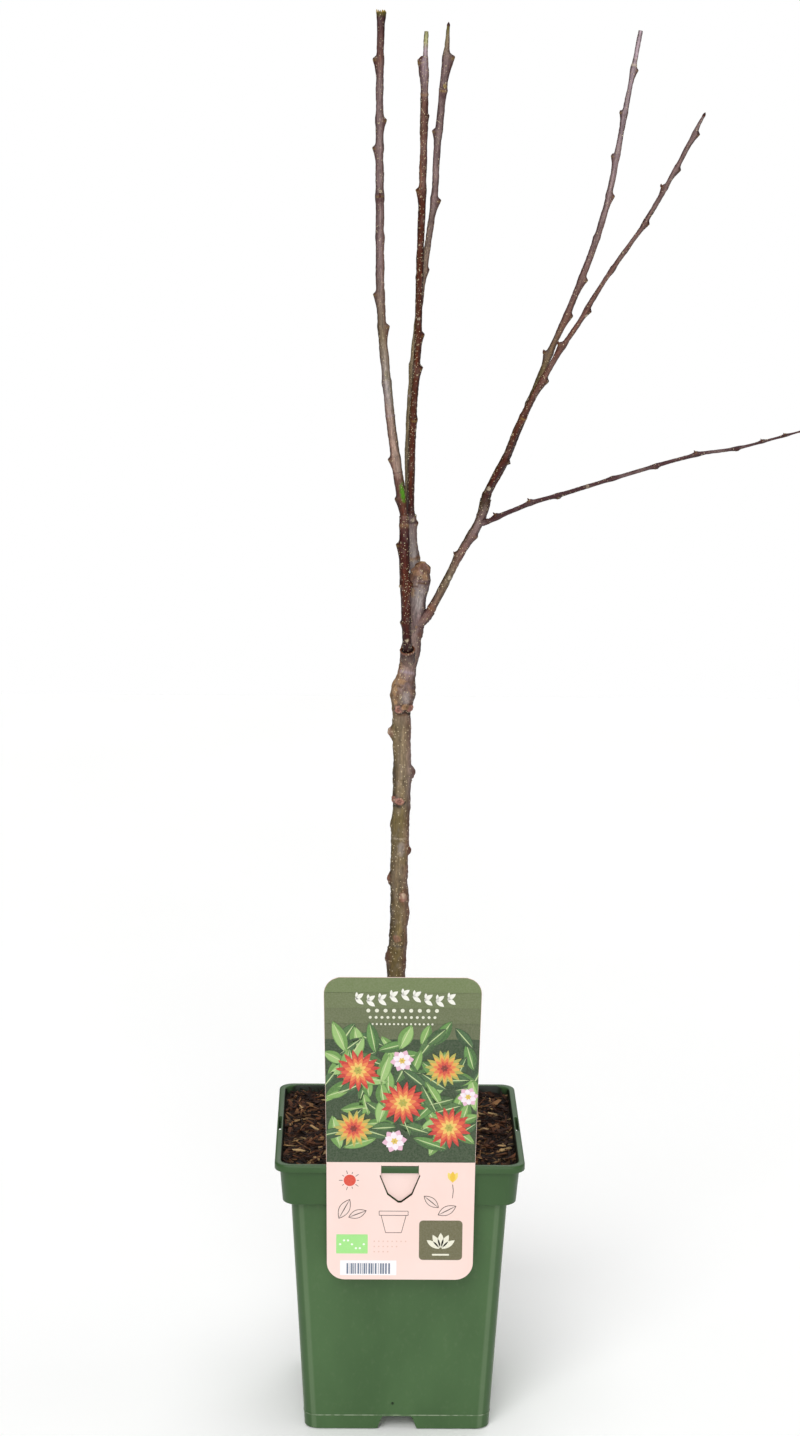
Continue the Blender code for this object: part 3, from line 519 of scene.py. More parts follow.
def soften(mesh: Mesh, degrees: float) -> None:
    """Shade a mesh smooth, but for its edges that are sharper than some degrees."""
    mesh.polygons.foreach_set("use_smooth", [True] * len(mesh.polygons))
    mesh.set_sharp_from_angle(angle=math.radians(degrees))


def attach(mesh: Mesh, name: str, kind: str, values: Sequence[float] | Values) -> None:
    """Give each vertex of a mesh its part of the values, as an attribute."""
    part = {"FLOAT_COLOR": "color", "FLOAT_VECTOR": "vector", "FLOAT": "value"}[kind]
    mesh.attributes.new(name, kind, "POINT").data.foreach_set(part, np.asarray(values, np.float32).ravel())


def meshed(bm: BMesh, name: str) -> Mesh:
    """A new mesh from a bmesh, with its faces turned outwards."""
    bmesh.ops.recalc_face_normals(bm, faces=bm.faces)
    mesh = bpy.data.meshes.new(name)
    bm.to_mesh(mesh)
    bm.free()
    return mesh


def around(count: int) -> Values:
    """Even turns round a circle, in radians."""
    return np.linspace(0.0, TURN, count, endpoint=False)


def mirrored(half: Pairs) -> list[tuple[float, float]]:
    """An outline that goes on from its half to that half's mirror image."""
    return [*half, *((-x, z) for x, z in reversed(half))]


def tube(bm: BMesh, rings: Sequence[Sequence[Vector]], endless: bool = False) -> list[bmesh.types.BMFace]:
    """Join rings of points.

    Args:
        bm: the mesh that gets the faces.
        rings: rings of points in millimetres.
        endless: whether the last ring is joined to the first; if not, both ends are closed.

    Returns:
        The faces.
    """
    loops = [[bm.verts.new(point * MM) for point in ring] for ring in rings]
    made = []
    for low, high in zip(loops, loops[1:] + loops[:1] if endless else loops[1:]):
        for i in range(len(low)):
            after = (i + 1) % len(low)
            made.append(bm.faces.new((low[i], low[after], high[after], high[i])))
    return made if endless else [*made, bm.faces.new(loops[0]), bm.faces.new(loops[-1])]


@dataclass(frozen=True)
class Growth:
    """A Geometry Nodes tree that grows small lumps on a mesh, with named inputs."""

    name: str
    finish: Material
    sizes: dict[str, float]
    seed: int = 0

    def tree(self) -> Tree:
        """Start the tree with its inputs, and end it with realized lumps and their finish."""
        tree = bpy.data.node_groups.new(self.name, "GeometryNodeTree")
        kinds = {"Geometry": "Geometry", **dict.fromkeys(self.sizes, "Float"), "Seed": "Int"}
        for name, kind in {**kinds, "Finish": "Material"}.items():
            tree.interface.new_socket(name, in_out="INPUT", socket_type="NodeSocket" + kind)
        tree.interface.new_socket("Geometry", in_out="OUTPUT", socket_type="NodeSocketGeometry")
        given = add(tree, "NodeGroupInput").node.outputs
        shape = self.lumps(tree, given)
        shape = add(tree, "SetMaterial", {"Geometry": shape, "Material": given["Finish"]})
        add(tree, "NodeGroupOutput", shape)
        return tree

    def lumps(self, tree: Tree, given: bpy.types.NodeOutputs) -> Socket:
        """Grow the realized lumps from the tree's inputs."""
        raise NotImplementedError

    def on(self, mesh: Mesh) -> Mesh:
        """Run the tree on a mesh, and give the lumps alone as a plain mesh."""
        host = linked(self.name, mesh)
        modifier = host.modifiers.new(self.name, "NODES")
        modifier.node_group = self.tree()
        values = {**self.sizes, "Seed": self.seed, "Finish": self.finish}
        for item in modifier.node_group.interface.items_tree:
            if item.in_out == "INPUT" and item.name in values:
                modifier[item.identifier] = values[item.name]
        return evaluated(host)


@dataclass(frozen=True)
class BudScales(Growth):
    """A pointed bud on each vertex, turned and sized by the vertex: a line whose radius swells and closes."""

    def lumps(self, tree: Tree, given: bpy.types.NodeOutputs) -> Socket:
        """Set the buds."""
        end = add(tree, "CombineXYZ", {"Z": given["Length"]})
        line = add(tree, "CurvePrimitiveLine", {"End": end})
        line = add(tree, "ResampleCurve", {"Curve": line, "Count": 8})
        along = add(tree, "SplineParameter", out="Factor")
        left = add(tree, "Math", 1.0, along, operation="SUBTRACT")
        closing = add(tree, "Math", left, 0.6, operation="POWER")
        start = add(tree, "Math", along, 0.12, operation="ADD")
        opening = add(tree, "Math", start, 0.45, operation="POWER")
        girth = times(tree, closing, opening, given["Width"])
        circle = add(tree, "CurvePrimitiveCircle", {"Resolution": 9, "Radius": 1.0})
        bud = add(tree, "CurveToMesh",
                  {"Curve": line, "Profile Curve": circle, "Scale": girth, "Fill Caps": True})
        squash = add(tree, "CombineXYZ", 1.0, given["Flatness"], 1.0)
        bud = add(tree, "Transform", {"Geometry": bud, "Scale": squash})
        turn = add(tree, "InputNamedAttribute", {"Name": "turn"}, data_type="FLOAT_VECTOR")
        size = add(tree, "InputNamedAttribute", {"Name": "size"}, data_type="FLOAT")
        buds = add(tree, "InstanceOnPoints", {
            "Points": given["Geometry"], "Instance": bud, "Scale": size,
            "Rotation": add(tree, "EulerToRotation", turn),
        })
        return add(tree, "RealizeInstances", buds)


@dataclass(frozen=True)
class Scatter(Growth):
    """Small lumps scattered over a mesh as its scatter attribute says, each with its own shade.

    Least and most are shares of the size, lean is in radians, and rough chips are waved by rough_mm.
    """

    least: float = 0.4
    most: float = 1.3
    lean: float = 0.05
    rough_mm: float = 0.0

    def lumps(self, tree: Tree, given: bpy.types.NodeOutputs) -> Socket:
        """Scatter the lumps."""
        share = add(tree, "InputNamedAttribute", {"Name": "scatter"}, data_type="FLOAT")
        points = add(tree, "DistributePointsOnFaces", {
            "Mesh": given["Geometry"], "Density": times(tree, share, given["Density"]), "Seed": given["Seed"],
        }, distribute_method="RANDOM").node.outputs
        if self.rough_mm:
            lump = add(tree, "MeshCube",
                       {"Size": (1, 1, 1), "Vertices X": 5, "Vertices Y": 2, "Vertices Z": 2})
        else:
            lump = add(tree, "MeshIcoSphere", {"Radius": 0.5, "Subdivisions": 1})
        size = add(tree, "CombineXYZ", given["Length"], given["Width"], given["Height"])
        vary, spin = (
            add(tree, "RandomValue", low, high, {"Seed": seed}, data_type="FLOAT_VECTOR")
            for low, high, seed in (
                ((self.least,) * 3, (self.most, self.most, 1.0), 3),
                ((-self.lean, -self.lean, 0), (self.lean, self.lean, TURN), 5),
            )
        )
        lumps = add(tree, "InstanceOnPoints", {
            "Points": points["Points"], "Instance": lump, "Scale": stepped(tree, size, ("MULTIPLY", vary)),
            "Rotation": add(tree, "RotateRotation", points["Rotation"], spin, rotation_space="LOCAL"),
        })
        shade = add(tree, "RandomValue", {2: 0.0, 3: 1.0, "Seed": 9}, data_type="FLOAT", out=1)
        lumps = add(tree, "StoreNamedAttribute", {"Geometry": lumps, "Name": "shade", "Value": shade},
                    data_type="FLOAT", domain="INSTANCE")
        lumps = add(tree, "RealizeInstances", lumps)
        if self.rough_mm:
            wave = add(tree, "TexNoise", {"Scale": 170.0, "Detail": 1.0}, out="Color")
            centred = stepped(tree, wave, ("SUBTRACT", (0.5, 0.5, 0.5)))
            push = add(tree, "VectorMath", centred, {"Scale": self.rough_mm * MM * 2}, operation="SCALE")
            lumps = add(tree, "SetPosition", {"Geometry": lumps, "Offset": push})
        return lumps


def lump_sizes(density_cm2: float, size_mm: Triple) -> dict[str, float]:
    """The inputs of a scatter: how many lumps lie on a square centimetre, and their size."""
    length, width, height = (size * MM for size in size_mm)
    return {"Density": density_cm2 * 1e4, "Length": length, "Width": width, "Height": height}


class Kind(Enum):
    """What a mark on the bark is."""

    KNOT = "a smooth lump"
    EYE = "a round scar with a raised rim"
    RING = "a ridge all the way round"
    CREASE = "a dark fold part of the way round"
    PATCH = "a change of colour"
    SCAR = "a flat healed scar with a brown outline"


class Tip(Enum):
    """How a limb ends, in rows of millimetres past its end, the share of its radius and the tone."""

    PRUNED = "0.15 0.96 PITH; 0.2 0.86 WOOD; 0.2 0.6 WOOD; 0.15 0.32 CREAM; 0.1 0.12 PITH"
    TORN = "0.5 1 STRAW; 0.9 0.86 STRAW; -0.6 0.68 PITH; -1.4 0.4 MOSS; -1.6 0.12 PITH"
    HEALED = "0.5 0.93 CALLUS; 0.8 0.75 CALLUS; 0.3 0.55 PITH; -0.2 0.4 CREAM; -0.1 0.15 PITH"
    BUD = "0.7 1.12 RUST; 1.5 1 WINE; 2.3 0.72 WINE; 3 0.36 RUST; 3.3 0.12 CALLUS"


@dataclass(frozen=True)
class Mark:
    """A mark on a limb: its kind, place as a part of the length and degrees about it, and half sizes."""

    kind: Kind
    part: float
    degrees: float
    along: float
    across: float
    proud: float
    tone: Tone
    strength: float


Rows = tuple[tuple[float | Tone | Kind, ...], ...]


def rows(text: str) -> Rows:
    """Read rows of numbers, tones and kinds, parted by semicolons."""
    names = {**Tone.__members__, **Kind.__members__}
    table = (row.split() for row in text.split(";"))
    return tuple(tuple(names[cell] if cell in names else float(cell) for cell in row) for row in table)


def stretch(table: Sequence[tuple], part: float) -> Sequence[tuple]:
    """The two entries of a table that a part lies between; each entry starts with its own part."""
    index = next((i for i in range(len(table) - 2) if part <= table[i + 1][0]), len(table) - 2)
    return table[index : index + 2]


def between(table: Pairs, part: float) -> float:
    """The value at a part, on straight lines between (part, value) entries."""
    (low, start), (high, end) = stretch(table, part)
    return start + (end - start) * (part - low) / (high - low)


def bump(distance: float, reach: float) -> float:
    """A smooth rise that is 1 at no distance and fades out over the reach."""
    return math.exp(-((distance / reach) ** 2))


def bell(values: Values, middle: float = 0.0, half: float = 1.0, power: float = 2) -> Values:
    """A smooth rise over values that is 1 at the middle and fades out over the half; a high power is boxy."""
    return np.exp(-(((values - middle) / half) ** power))


def wrapped(angle: Values, degrees: float) -> Values:
    """The turn from some degrees to each angle, in radians from minus to plus half a turn."""
    return (angle - math.radians(degrees) + math.pi) % TURN - math.pi


def stain_and_shade(tints: Values, tone: Tone, share: Values) -> Values:
    """Mix a tone into linear colours by a share at each place."""
    return tints * (1 - share[..., None]) + tone.linear * share[..., None]


def ripple(rng: np.random.Generator, along: Values, angle: Values, reach: float, lobes: int) -> Values:
    """Seamless seeded noise on a limb's skin, mostly within one either way.

    Args:
        rng: the limb's own random numbers.
        along: millimetres along the limb.
        angle: radians about it.
        reach: the waves' length in millimetres.
        lobes: the most waves round the limb.

    Returns:
        The noise at each place.
    """
    total = np.zeros_like(along)
    waves = 14
    for _ in range(waves):
        pace = rng.uniform(0.5, 1.6) * TURN / reach * rng.choice((-1, 1))
        total += np.sin(along * pace + rng.integers(0, lobes + 1) * angle + rng.uniform(0, TURN))
    return total / math.sqrt(waves)


class Skin:
    """Collects tubes of skin into one mesh with its tint, grain and scatter attributes."""

    def __init__(self) -> None:
        """Start with nothing."""
        self.layers: tuple[list[Values], ...] = ([], [], [], [])
        self.faces: list[tuple[int, ...]] = []
        self.count = 0

    def grid(self, points: Values, tints: Values, grains: Values, scatter: Values) -> None:
        """Add a tube of rings, closed at both ends.

        Args:
            points: rings by sides by three, in millimetres.
            tints: the same shape, linear colours.
            grains: the same shape, the unrolled skin.
            scatter: rings by sides, how thickly small lumps lie.
        """
        rings, sides, _ = points.shape
        for kept, layer in zip(self.layers, (points, tints, grains)):
            kept += [layer.reshape(-1, 3), np.array([layer[0].mean(axis=0), layer[-1].mean(axis=0)])]
        self.layers[3].extend((scatter.ravel(), np.zeros(2)))
        first, bottom = self.count, self.count + rings * sides
        last = bottom - sides
        afters = [(side, (side + 1) % sides) for side in range(sides)]
        for low in range(first, last, sides):
            high = low + sides
            self.faces += [(low + side, low + after, high + after, high + side) for side, after in afters]
        for side, after in afters:
            self.faces += [(bottom, first + after, first + side), (bottom + 1, last + side, last + after)]
        self.count = bottom + 2

    def mesh(self, name: str, finish: Material) -> Mesh:
        """Make the mesh, in metres."""
        mesh = bpy.data.meshes.new(name)
        points, tints, grains, scatter = map(np.concatenate, self.layers)
        mesh.from_pydata((points * MM).tolist(), [], self.faces)
        mesh.materials.append(finish)
        attach(mesh, "tint", "FLOAT_COLOR", np.pad(np.clip(tints, 0, 1), ((0, 0), (0, 1)), constant_values=1))
        attach(mesh, "grain", "FLOAT_VECTOR", grains)
        attach(mesh, "scatter", "FLOAT", scatter)
        soften(mesh, 60.0)
        mesh.validate()
        return mesh


@dataclass
class Limb:
    """One tapering limb: a chord from foot to tip, bent aside and in depth at parts of its length.

    A bend is part of the length, mm across, mm in depth. Across runs to the right of an upright limb
    and below a level one; depth runs away from the card's side. A taper entry is part, radius; a bud is
    part, degrees about the limb from across towards depth and, where it isn't usual, its size; a tones
    entry is part, middle, left flank, right flank; a mark has the values of a Mark. On top of the bark's own
    colour, the middle tones are partly a painted highlight and the darker flank tones partly painted shade.
    """

    name: str
    on: str
    foot: Triple
    tip: Triple
    bends: Rows
    taper: Rows
    tones: Rows
    marks: Rows
    buds: Rows = ()
    slot: str = "shoot_bark"
    ending: Tip = Tip.PRUNED
    seed: int = 1
    sides: int = 28
    ring_mm: float = 0.8
    lumpy_mm: float = 0.14
    pores_cm2: float = 4.0
    pores_from: float = 0.0
    strips: float = 0.16
    collar_length: float = 8.0
    collar_swell: float = 1.22
    cup: float = 0.0
    sunk_mm: float = 2.4

    @property
    def chord(self) -> Vector:
        """The way from foot to tip, near enough as long as the limb."""
        return Vector(self.tip) - Vector(self.foot)

    def point(self, part: float) -> Vector:
        """The axis at a part of the length, on a smooth curve through the foot, the bends and the tip."""
        foot, chord = Vector(self.foot), self.chord
        across = DEPTH.cross(chord).normalized()
        depth = chord.normalized().cross(across)
        stations = [
            (share, foot + chord * share + across * aside + depth * deep)
            for share, aside, deep in (NOUGHT, *self.bends, (1, 0, 0))
        ]
        (low, start), (high, end) = stretch(stations, part)
        index = [share for share, _ in stations].index(low)
        slopes = []
        for i in (index, index + 1):
            (before, first), (after, second) = (stations[:1] + stations + stations[-1:])[i : i + 3 : 2]
            slopes.append((second - first) / (after - before))
        span = high - low
        s = (part - low) / span
        return (
            start * (2 * s**3 - 3 * s**2 + 1)
            + slopes[0] * span * (s**3 - 2 * s**2 + s)
            + end * (3 * s**2 - 2 * s**3)
            + slopes[1] * span * (s**3 - s**2)
        )

    def frame(self, part: float) -> tuple[Vector, Vector, Vector]:
        """The limb's way, and the ways to its right and to its back, at a part of its length."""
        step = 1.2 / self.chord.length
        along = (self.point(min(part + step, 1.0)) - self.point(max(part - step, 0.0))).normalized()
        across = DEPTH.cross(along).normalized()
        return along, across, along.cross(across)

    def radius(self, part: float) -> float:
        """The limb's radius, with a small swelling at each bud."""
        swell = sum(bump((part - bud[0]) * self.chord.length, 3.5) for bud in self.buds)
        return between(self.taper, part) + 0.35 * min(swell, 1.0)

    def bud_size(self, bud: Sequence[float]) -> float:
        """How large a bud is, next to the usual one."""
        return min(self.radius(bud[0]) / 2.5, 1.1) * (bud[2] if len(bud) > 2 else 1.0)

    def tone_at(self, part: float, angle: Values) -> Values:
        """The linear base colours round the limb at a part of its length, with both flanks darkened as
        painted shade.
        """
        low, high = stretch(self.tones, part)
        blend = (part - low[0]) / (high[0] - low[0])
        middle, left, right = (a.linear * (1 - blend) + b.linear * blend for a, b in zip(low[1:], high[1:]))
        to_right = np.clip(np.cos(angle), 0, 1)[:, None] ** 1.8
        to_left = np.clip(-np.cos(angle), 0, 1)[:, None] ** 1.8
        # Painted shade: the flanks, left and right, are darkened.
        edge = 1 - 0.28 * np.abs(np.cos(angle))[:, None] ** 4
        return (middle * (1 - to_right - to_left) + right * to_right + left * to_left) * edge

    def gnarled(self, along: Values) -> Values:
        """How gnarled the skin is at each place along the limb; only the trunk is."""
        return np.zeros_like(along)

    def relief(
        self, girth: Values, along: Values, angle: Values, tints: Values
    ) -> tuple[Values, Values]:
        """Raise the skin and colour it by the buds' cushions and the marks.

        Args:
            girth: the plain radius, rings by sides.
            along: millimetres from the foot.
            angle: radians about the limb.
            tints: linear colours, rings by sides by three.

        Returns:
            The radius and the colours.
        """
        rng = np.random.default_rng(self.seed)
        length = self.chord.length
        radius = girth.copy()
        for share, reach, lobes in ((1.0, 26.0, 2), (0.45, 6.0, 5), (0.35, 50.0, 12)):
            radius += self.lumpy_mm * share * ripple(rng, along, angle, reach, lobes)
        strips = 0.8 * ripple(rng, along, angle, 70.0, 7) + 0.6 * ripple(rng, along, angle, 14.0, 12)
        tints = tints * (1 + self.strips * strips[..., None])
        fray = 1 + 0.14 * ripple(rng, along, angle, 4.0, 6)
        gnarled = self.gnarled(along)
        if gnarled.any():
            folds = ripple(rng, along + 5 * np.sin(angle + 1), angle, 11.0, 6)
            radius += gnarled * (0.45 * folds + 0.16 * ripple(rng, along, angle, 4.0, 9))
            tints = stain_and_shade(tints, Tone.CALLUS, gnarled * np.clip(folds, 0, 1) * 0.35)
            # Painted shade in the hollows of the folds.
            tints = stain_and_shade(tints, Tone.PITH, gnarled * np.clip(-folds - 0.2, 0, 0.8) * 0.8)
        for bud in self.buds:
            size = self.bud_size(bud)
            ahead = along - bud[0] * length
            side = bell(wrapped(angle, bud[1]), half=0.95)
            below = np.clip(1 + ahead / (12.0 * size), 0, 1) ** 1.6
            rise = np.where(ahead < 0, below, bell(ahead, half=1.5))
            radius += 2.0 * size * rise * side
            tints = stain_and_shade(tints, Tone.RUST, 0.5 * rise * side)
            tints = stain_and_shade(tints, Tone.STRAW, 0.5 * bell(ahead, -0.9 * size, 0.55 * size) * side**2)
            tints = stain_and_shade(tints, Tone.SHADOW, 0.55 * bell(ahead, 1.5, 0.6) * (0.3 + 0.7 * side))
        for mark in (Mark(*row) for row in self.marks):
            down = (along - mark.part * length) / mark.along
            over = wrapped(angle, mark.degrees) * girth / mark.across
            away = np.sqrt(down**2 + over**2) * fray
            lift = weight = bell(away, power=5)
            if mark.kind is Kind.RING:
                lift = weight = bell(down * fray)
            elif mark.kind is Kind.CREASE:
                lift = weight = bell(down + 0.35 * over**2) * bell(over, power=4)
            elif mark.kind is Kind.KNOT:
                lift = bell(away, power=2.6)
            stains = [(mark.tone, weight)]
            if mark.kind is Kind.SCAR:
                stains = [(Tone.PITH, bell(away, 1.15, 0.24)), *stains]
            elif mark.kind is Kind.EYE:
                lift = 0.9 * bell(away, half=1.15, power=4) - 0.4 * bell(away, half=0.5, power=4)
                stains = [
                    (Tone.SHADOW, bell(away, 1.3, 0.26) * np.where(down < 0, 0.85, 0.45)),
                    (mark.tone, bell(away, half=1.02, power=8)),
                    (Tone.WINE, bell(away, half=0.52, power=6) * 0.7),
                    (mark.tone, bell(away, half=0.24, power=4) * 0.8),
                ]
            radius += mark.proud * lift
            for tone, share in stains:
                tints = stain_and_shade(tints, tone, share * mark.strength)
        return radius, tints

    def grow(self, skin: Skin) -> None:
        """Add the limb's own skin."""
        parts = np.linspace(0.0, 1.0, max(int(self.chord.length / self.ring_mm), 12))
        turns = around(self.sides)
        along, angle = np.meshgrid(parts * self.chord.length, turns, indexing="ij")
        girth = np.array([self.radius(part) for part in parts])[:, None] * np.ones(self.sides)
        tints = np.stack([self.tone_at(part, turns) for part in parts])
        radius, tints = self.relief(girth, along, angle, tints)
        centres = np.array([self.point(part) for part in parts])
        forward, across, deep = np.array([self.frame(part) for part in parts]).swapaxes(0, 1)
        out = across[:, None] * np.cos(angle)[..., None] + deep[:, None] * np.sin(angle)[..., None]
        points = centres[:, None] + out * radius[..., None]
        jag = np.zeros(self.sides)
        if self.ending is Tip.TORN:
            jag = ripple(np.random.default_rng(self.seed + 100), turns * 4, turns, 3.0, 9)
        tail, tail_tints = [], []
        for index, (rise, share, tone) in enumerate(rows(self.ending.value)):
            lift = rise + (1.5 if index < 2 else 0.4) * jag
            tail.append(centres[-1] + out[-1] * (radius[-1] * share)[:, None] + forward[-1] * lift[:, None])
            plain = np.tile(tone.linear, (self.sides, 1))
            tail_tints.append(stain_and_shade(plain, Tone.PITH, np.clip(-jag * 1.5, 0, 0.9)))
        grain = np.stack((np.cos(angle) * girth, np.sin(angle) * girth, along), axis=-1)
        pores_and_collar_shade = np.ones(along.shape) * (parts[:, None] >= self.pores_from)
        skin.grid(
            np.concatenate((points[:1] - forward[0] * self.sunk_mm, points, tail)),
            np.concatenate((tints[:1], tints, tail_tints)),
            np.concatenate((grain[:1] - (0, 0, self.sunk_mm), grain, tail)),
            np.pad(pores_and_collar_shade, ((1, len(tail)), (0, 0))),
        )

    def carry(self, child: "Limb", skin: Skin) -> None:
        """Add the collar that a child springs from."""
        level = (Vector(child.foot) - Vector(self.foot)).dot(self.chord) / self.chord.length_squared
        spring = min(max(level - child.collar_length / self.chord.length, 0.0), 0.97)
        root = self.point(spring)
        forward = child.frame(0.0)[0]
        end = Vector(child.foot) - forward * 0.3
        knee = end - forward * child.collar_length * 0.55
        girth = child.radius(0.0)
        lip, swollen = girth * 1.1 + child.cup, girth * child.collar_swell
        start = min(girth * 1.35, self.radius(spring) * 0.85)
        profile = ((0.0, start), (0.55, swollen), (0.9, (swollen + lip) / 2), (1.0, lip))
        parts = [step / 17 for step in range(18)]
        places = [root.lerp(knee, part).lerp(knee.lerp(end, part), part) for part in parts]
        turns = around(self.sides)
        rng = np.random.default_rng(child.seed + 50)
        points, tints, grains = [], [], []
        inner, outer = self.tone_at(spring, turns), child.tone_at(0.0, turns)
        travelled = 0.0
        for part, place, low, high in zip(parts, places, places[:1] + places, places[1:] + places[-1:]):
            radius = between(profile, part)
            way = (high - low).normalized()
            side = DEPTH.cross(way).normalized()
            travelled += (place - low).length
            wave = 0.25 * np.sin(turns * 3 + part * 4 + child.seed) + 0.15 * np.sin(turns * 5 - part * 9)
            rolled = radius + (wave + 0.2 * rng.normal()) * min(part * 3, 1.0) * (0.35 + 0.65 * (1 - part))
            out = np.outer(np.cos(turns), side) + np.outer(np.sin(turns), way.cross(side))
            points.append(np.array(place) + out * rolled[:, None])
            tints.append(inner * (1 - part) + outer * part)
            circle = (np.cos(turns) * radius, np.sin(turns) * radius, np.full(self.sides, travelled))
            grains.append(np.stack(circle, axis=-1))
        # The rings that go down into the groove round the child are painted shade.
        closing = "0.93 0.15 CALLUS; 0.82 -0.1 PITH; 0.6 -0.5 SHADOW"
        if child.cup:
            tints[-2:] = [np.tile(Tone.ROSE.linear, (self.sides, 1))] * 2
            closing = "0.95 0.25 NUT; 0.84 0.1 RUST; 0.7 -1 SHADOW"
        for share, drop, tone in rows(closing):
            points.append(np.array(end) + out * lip * share + np.array(forward) * drop)
            tints.append(np.tile(tone.linear, (self.sides, 1)))
            grains.append(grains[-1] * share)
        scatter = np.ones((len(points), self.sides))
        scatter[-3:] = 0
        skin.grid(np.array(points), np.array(tints), np.array(grains), scatter)

    def bud_places(self) -> Mesh:
        """The buds' places, as loose points with each bud's turn and size."""
        places, turns, sizes = [], [], []
        lean = math.radians(20)
        for bud in self.buds:
            size = self.bud_size(bud)
            along, across, deep = self.frame(bud[0])
            angle = math.radians(bud[1])
            out = across * math.cos(angle) + deep * math.sin(angle)
            way = (along * math.cos(lean) + out * math.sin(lean)).normalized()
            side = way.cross(out).normalized()
            turns.append(Matrix((side, side.cross(way), way)).transposed().to_euler())
            skin = self.point(bud[0]) + out * (self.radius(bud[0]) + 0.9 * size)
            places.append((skin - along * 1.5 * size) * MM)
            sizes.append(size)
        mesh = bpy.data.meshes.new(self.name + " bud places")
        mesh.from_pydata(places, [], [])
        attach(mesh, "turn", "FLOAT_VECTOR", turns)
        attach(mesh, "size", "FLOAT", sizes)
        return mesh

    def build(self, children: Sequence["Limb"], bark: Material, pores: Scatter, buds: BudScales) -> None:
        """Make the limb's piece, with its collars, pores and buds, in the solid's place.

        Args:
            children: the limbs that it carries.
            bark: its bark.
            pores: what scatters the pores.
            buds: what sets the buds.
        """
        skin = Skin()
        self.grow(skin)
        for child in children:
            self.carry(child, skin)
        mesh = skin.mesh(self.name + "_skin", bark)
        shown(self.name + "_bark", mesh, self.slot, self.name)
        shown(self.name + "_pores", pores.on(mesh), self.slot)
        if self.buds:
            scales = buds.on(self.bud_places())
            soften(scales, 60.0)
            shown(self.name + "_buds", scales, self.slot)


@dataclass
class Trunk(Limb):
    """The trunk, whose girth also follows its flare, burr and pruned knob.

    A swelling has how proud it stands and its height above the ground.
    """

    flare: float = 4.2
    swellings: Rows = rows("3.2 572; 0.9 604; 1.1 659")
    burr_at: float = 576.0
    knob_at: float = 668.0
    dome: float = 4.5

    def radius(self, part: float) -> float:
        """The trunk's radius at a part of its length."""
        height = self.point(part).z
        girth = between(self.taper, part) + self.flare * math.exp(-(height - self.foot[2]) / 11.0)
        for proud, level in self.swellings:
            girth += proud * bump(height - level, 9.0)
        below_top = self.tip[2] - height
        if below_top < self.dome:
            girth *= math.sqrt(max(1 - ((self.dome - below_top) / self.dome) ** 2, 0.12))
        return girth

    def gnarled(self, along: Values) -> Values:
        """The burr and the grown-over knob are gnarled."""
        height = along * (self.tip[2] - self.foot[2]) / self.chord.length + self.foot[2]
        return 0.7 * bell(height, self.burr_at, 11.0, 4) + bell(height, self.knob_at, 9.0, 4)


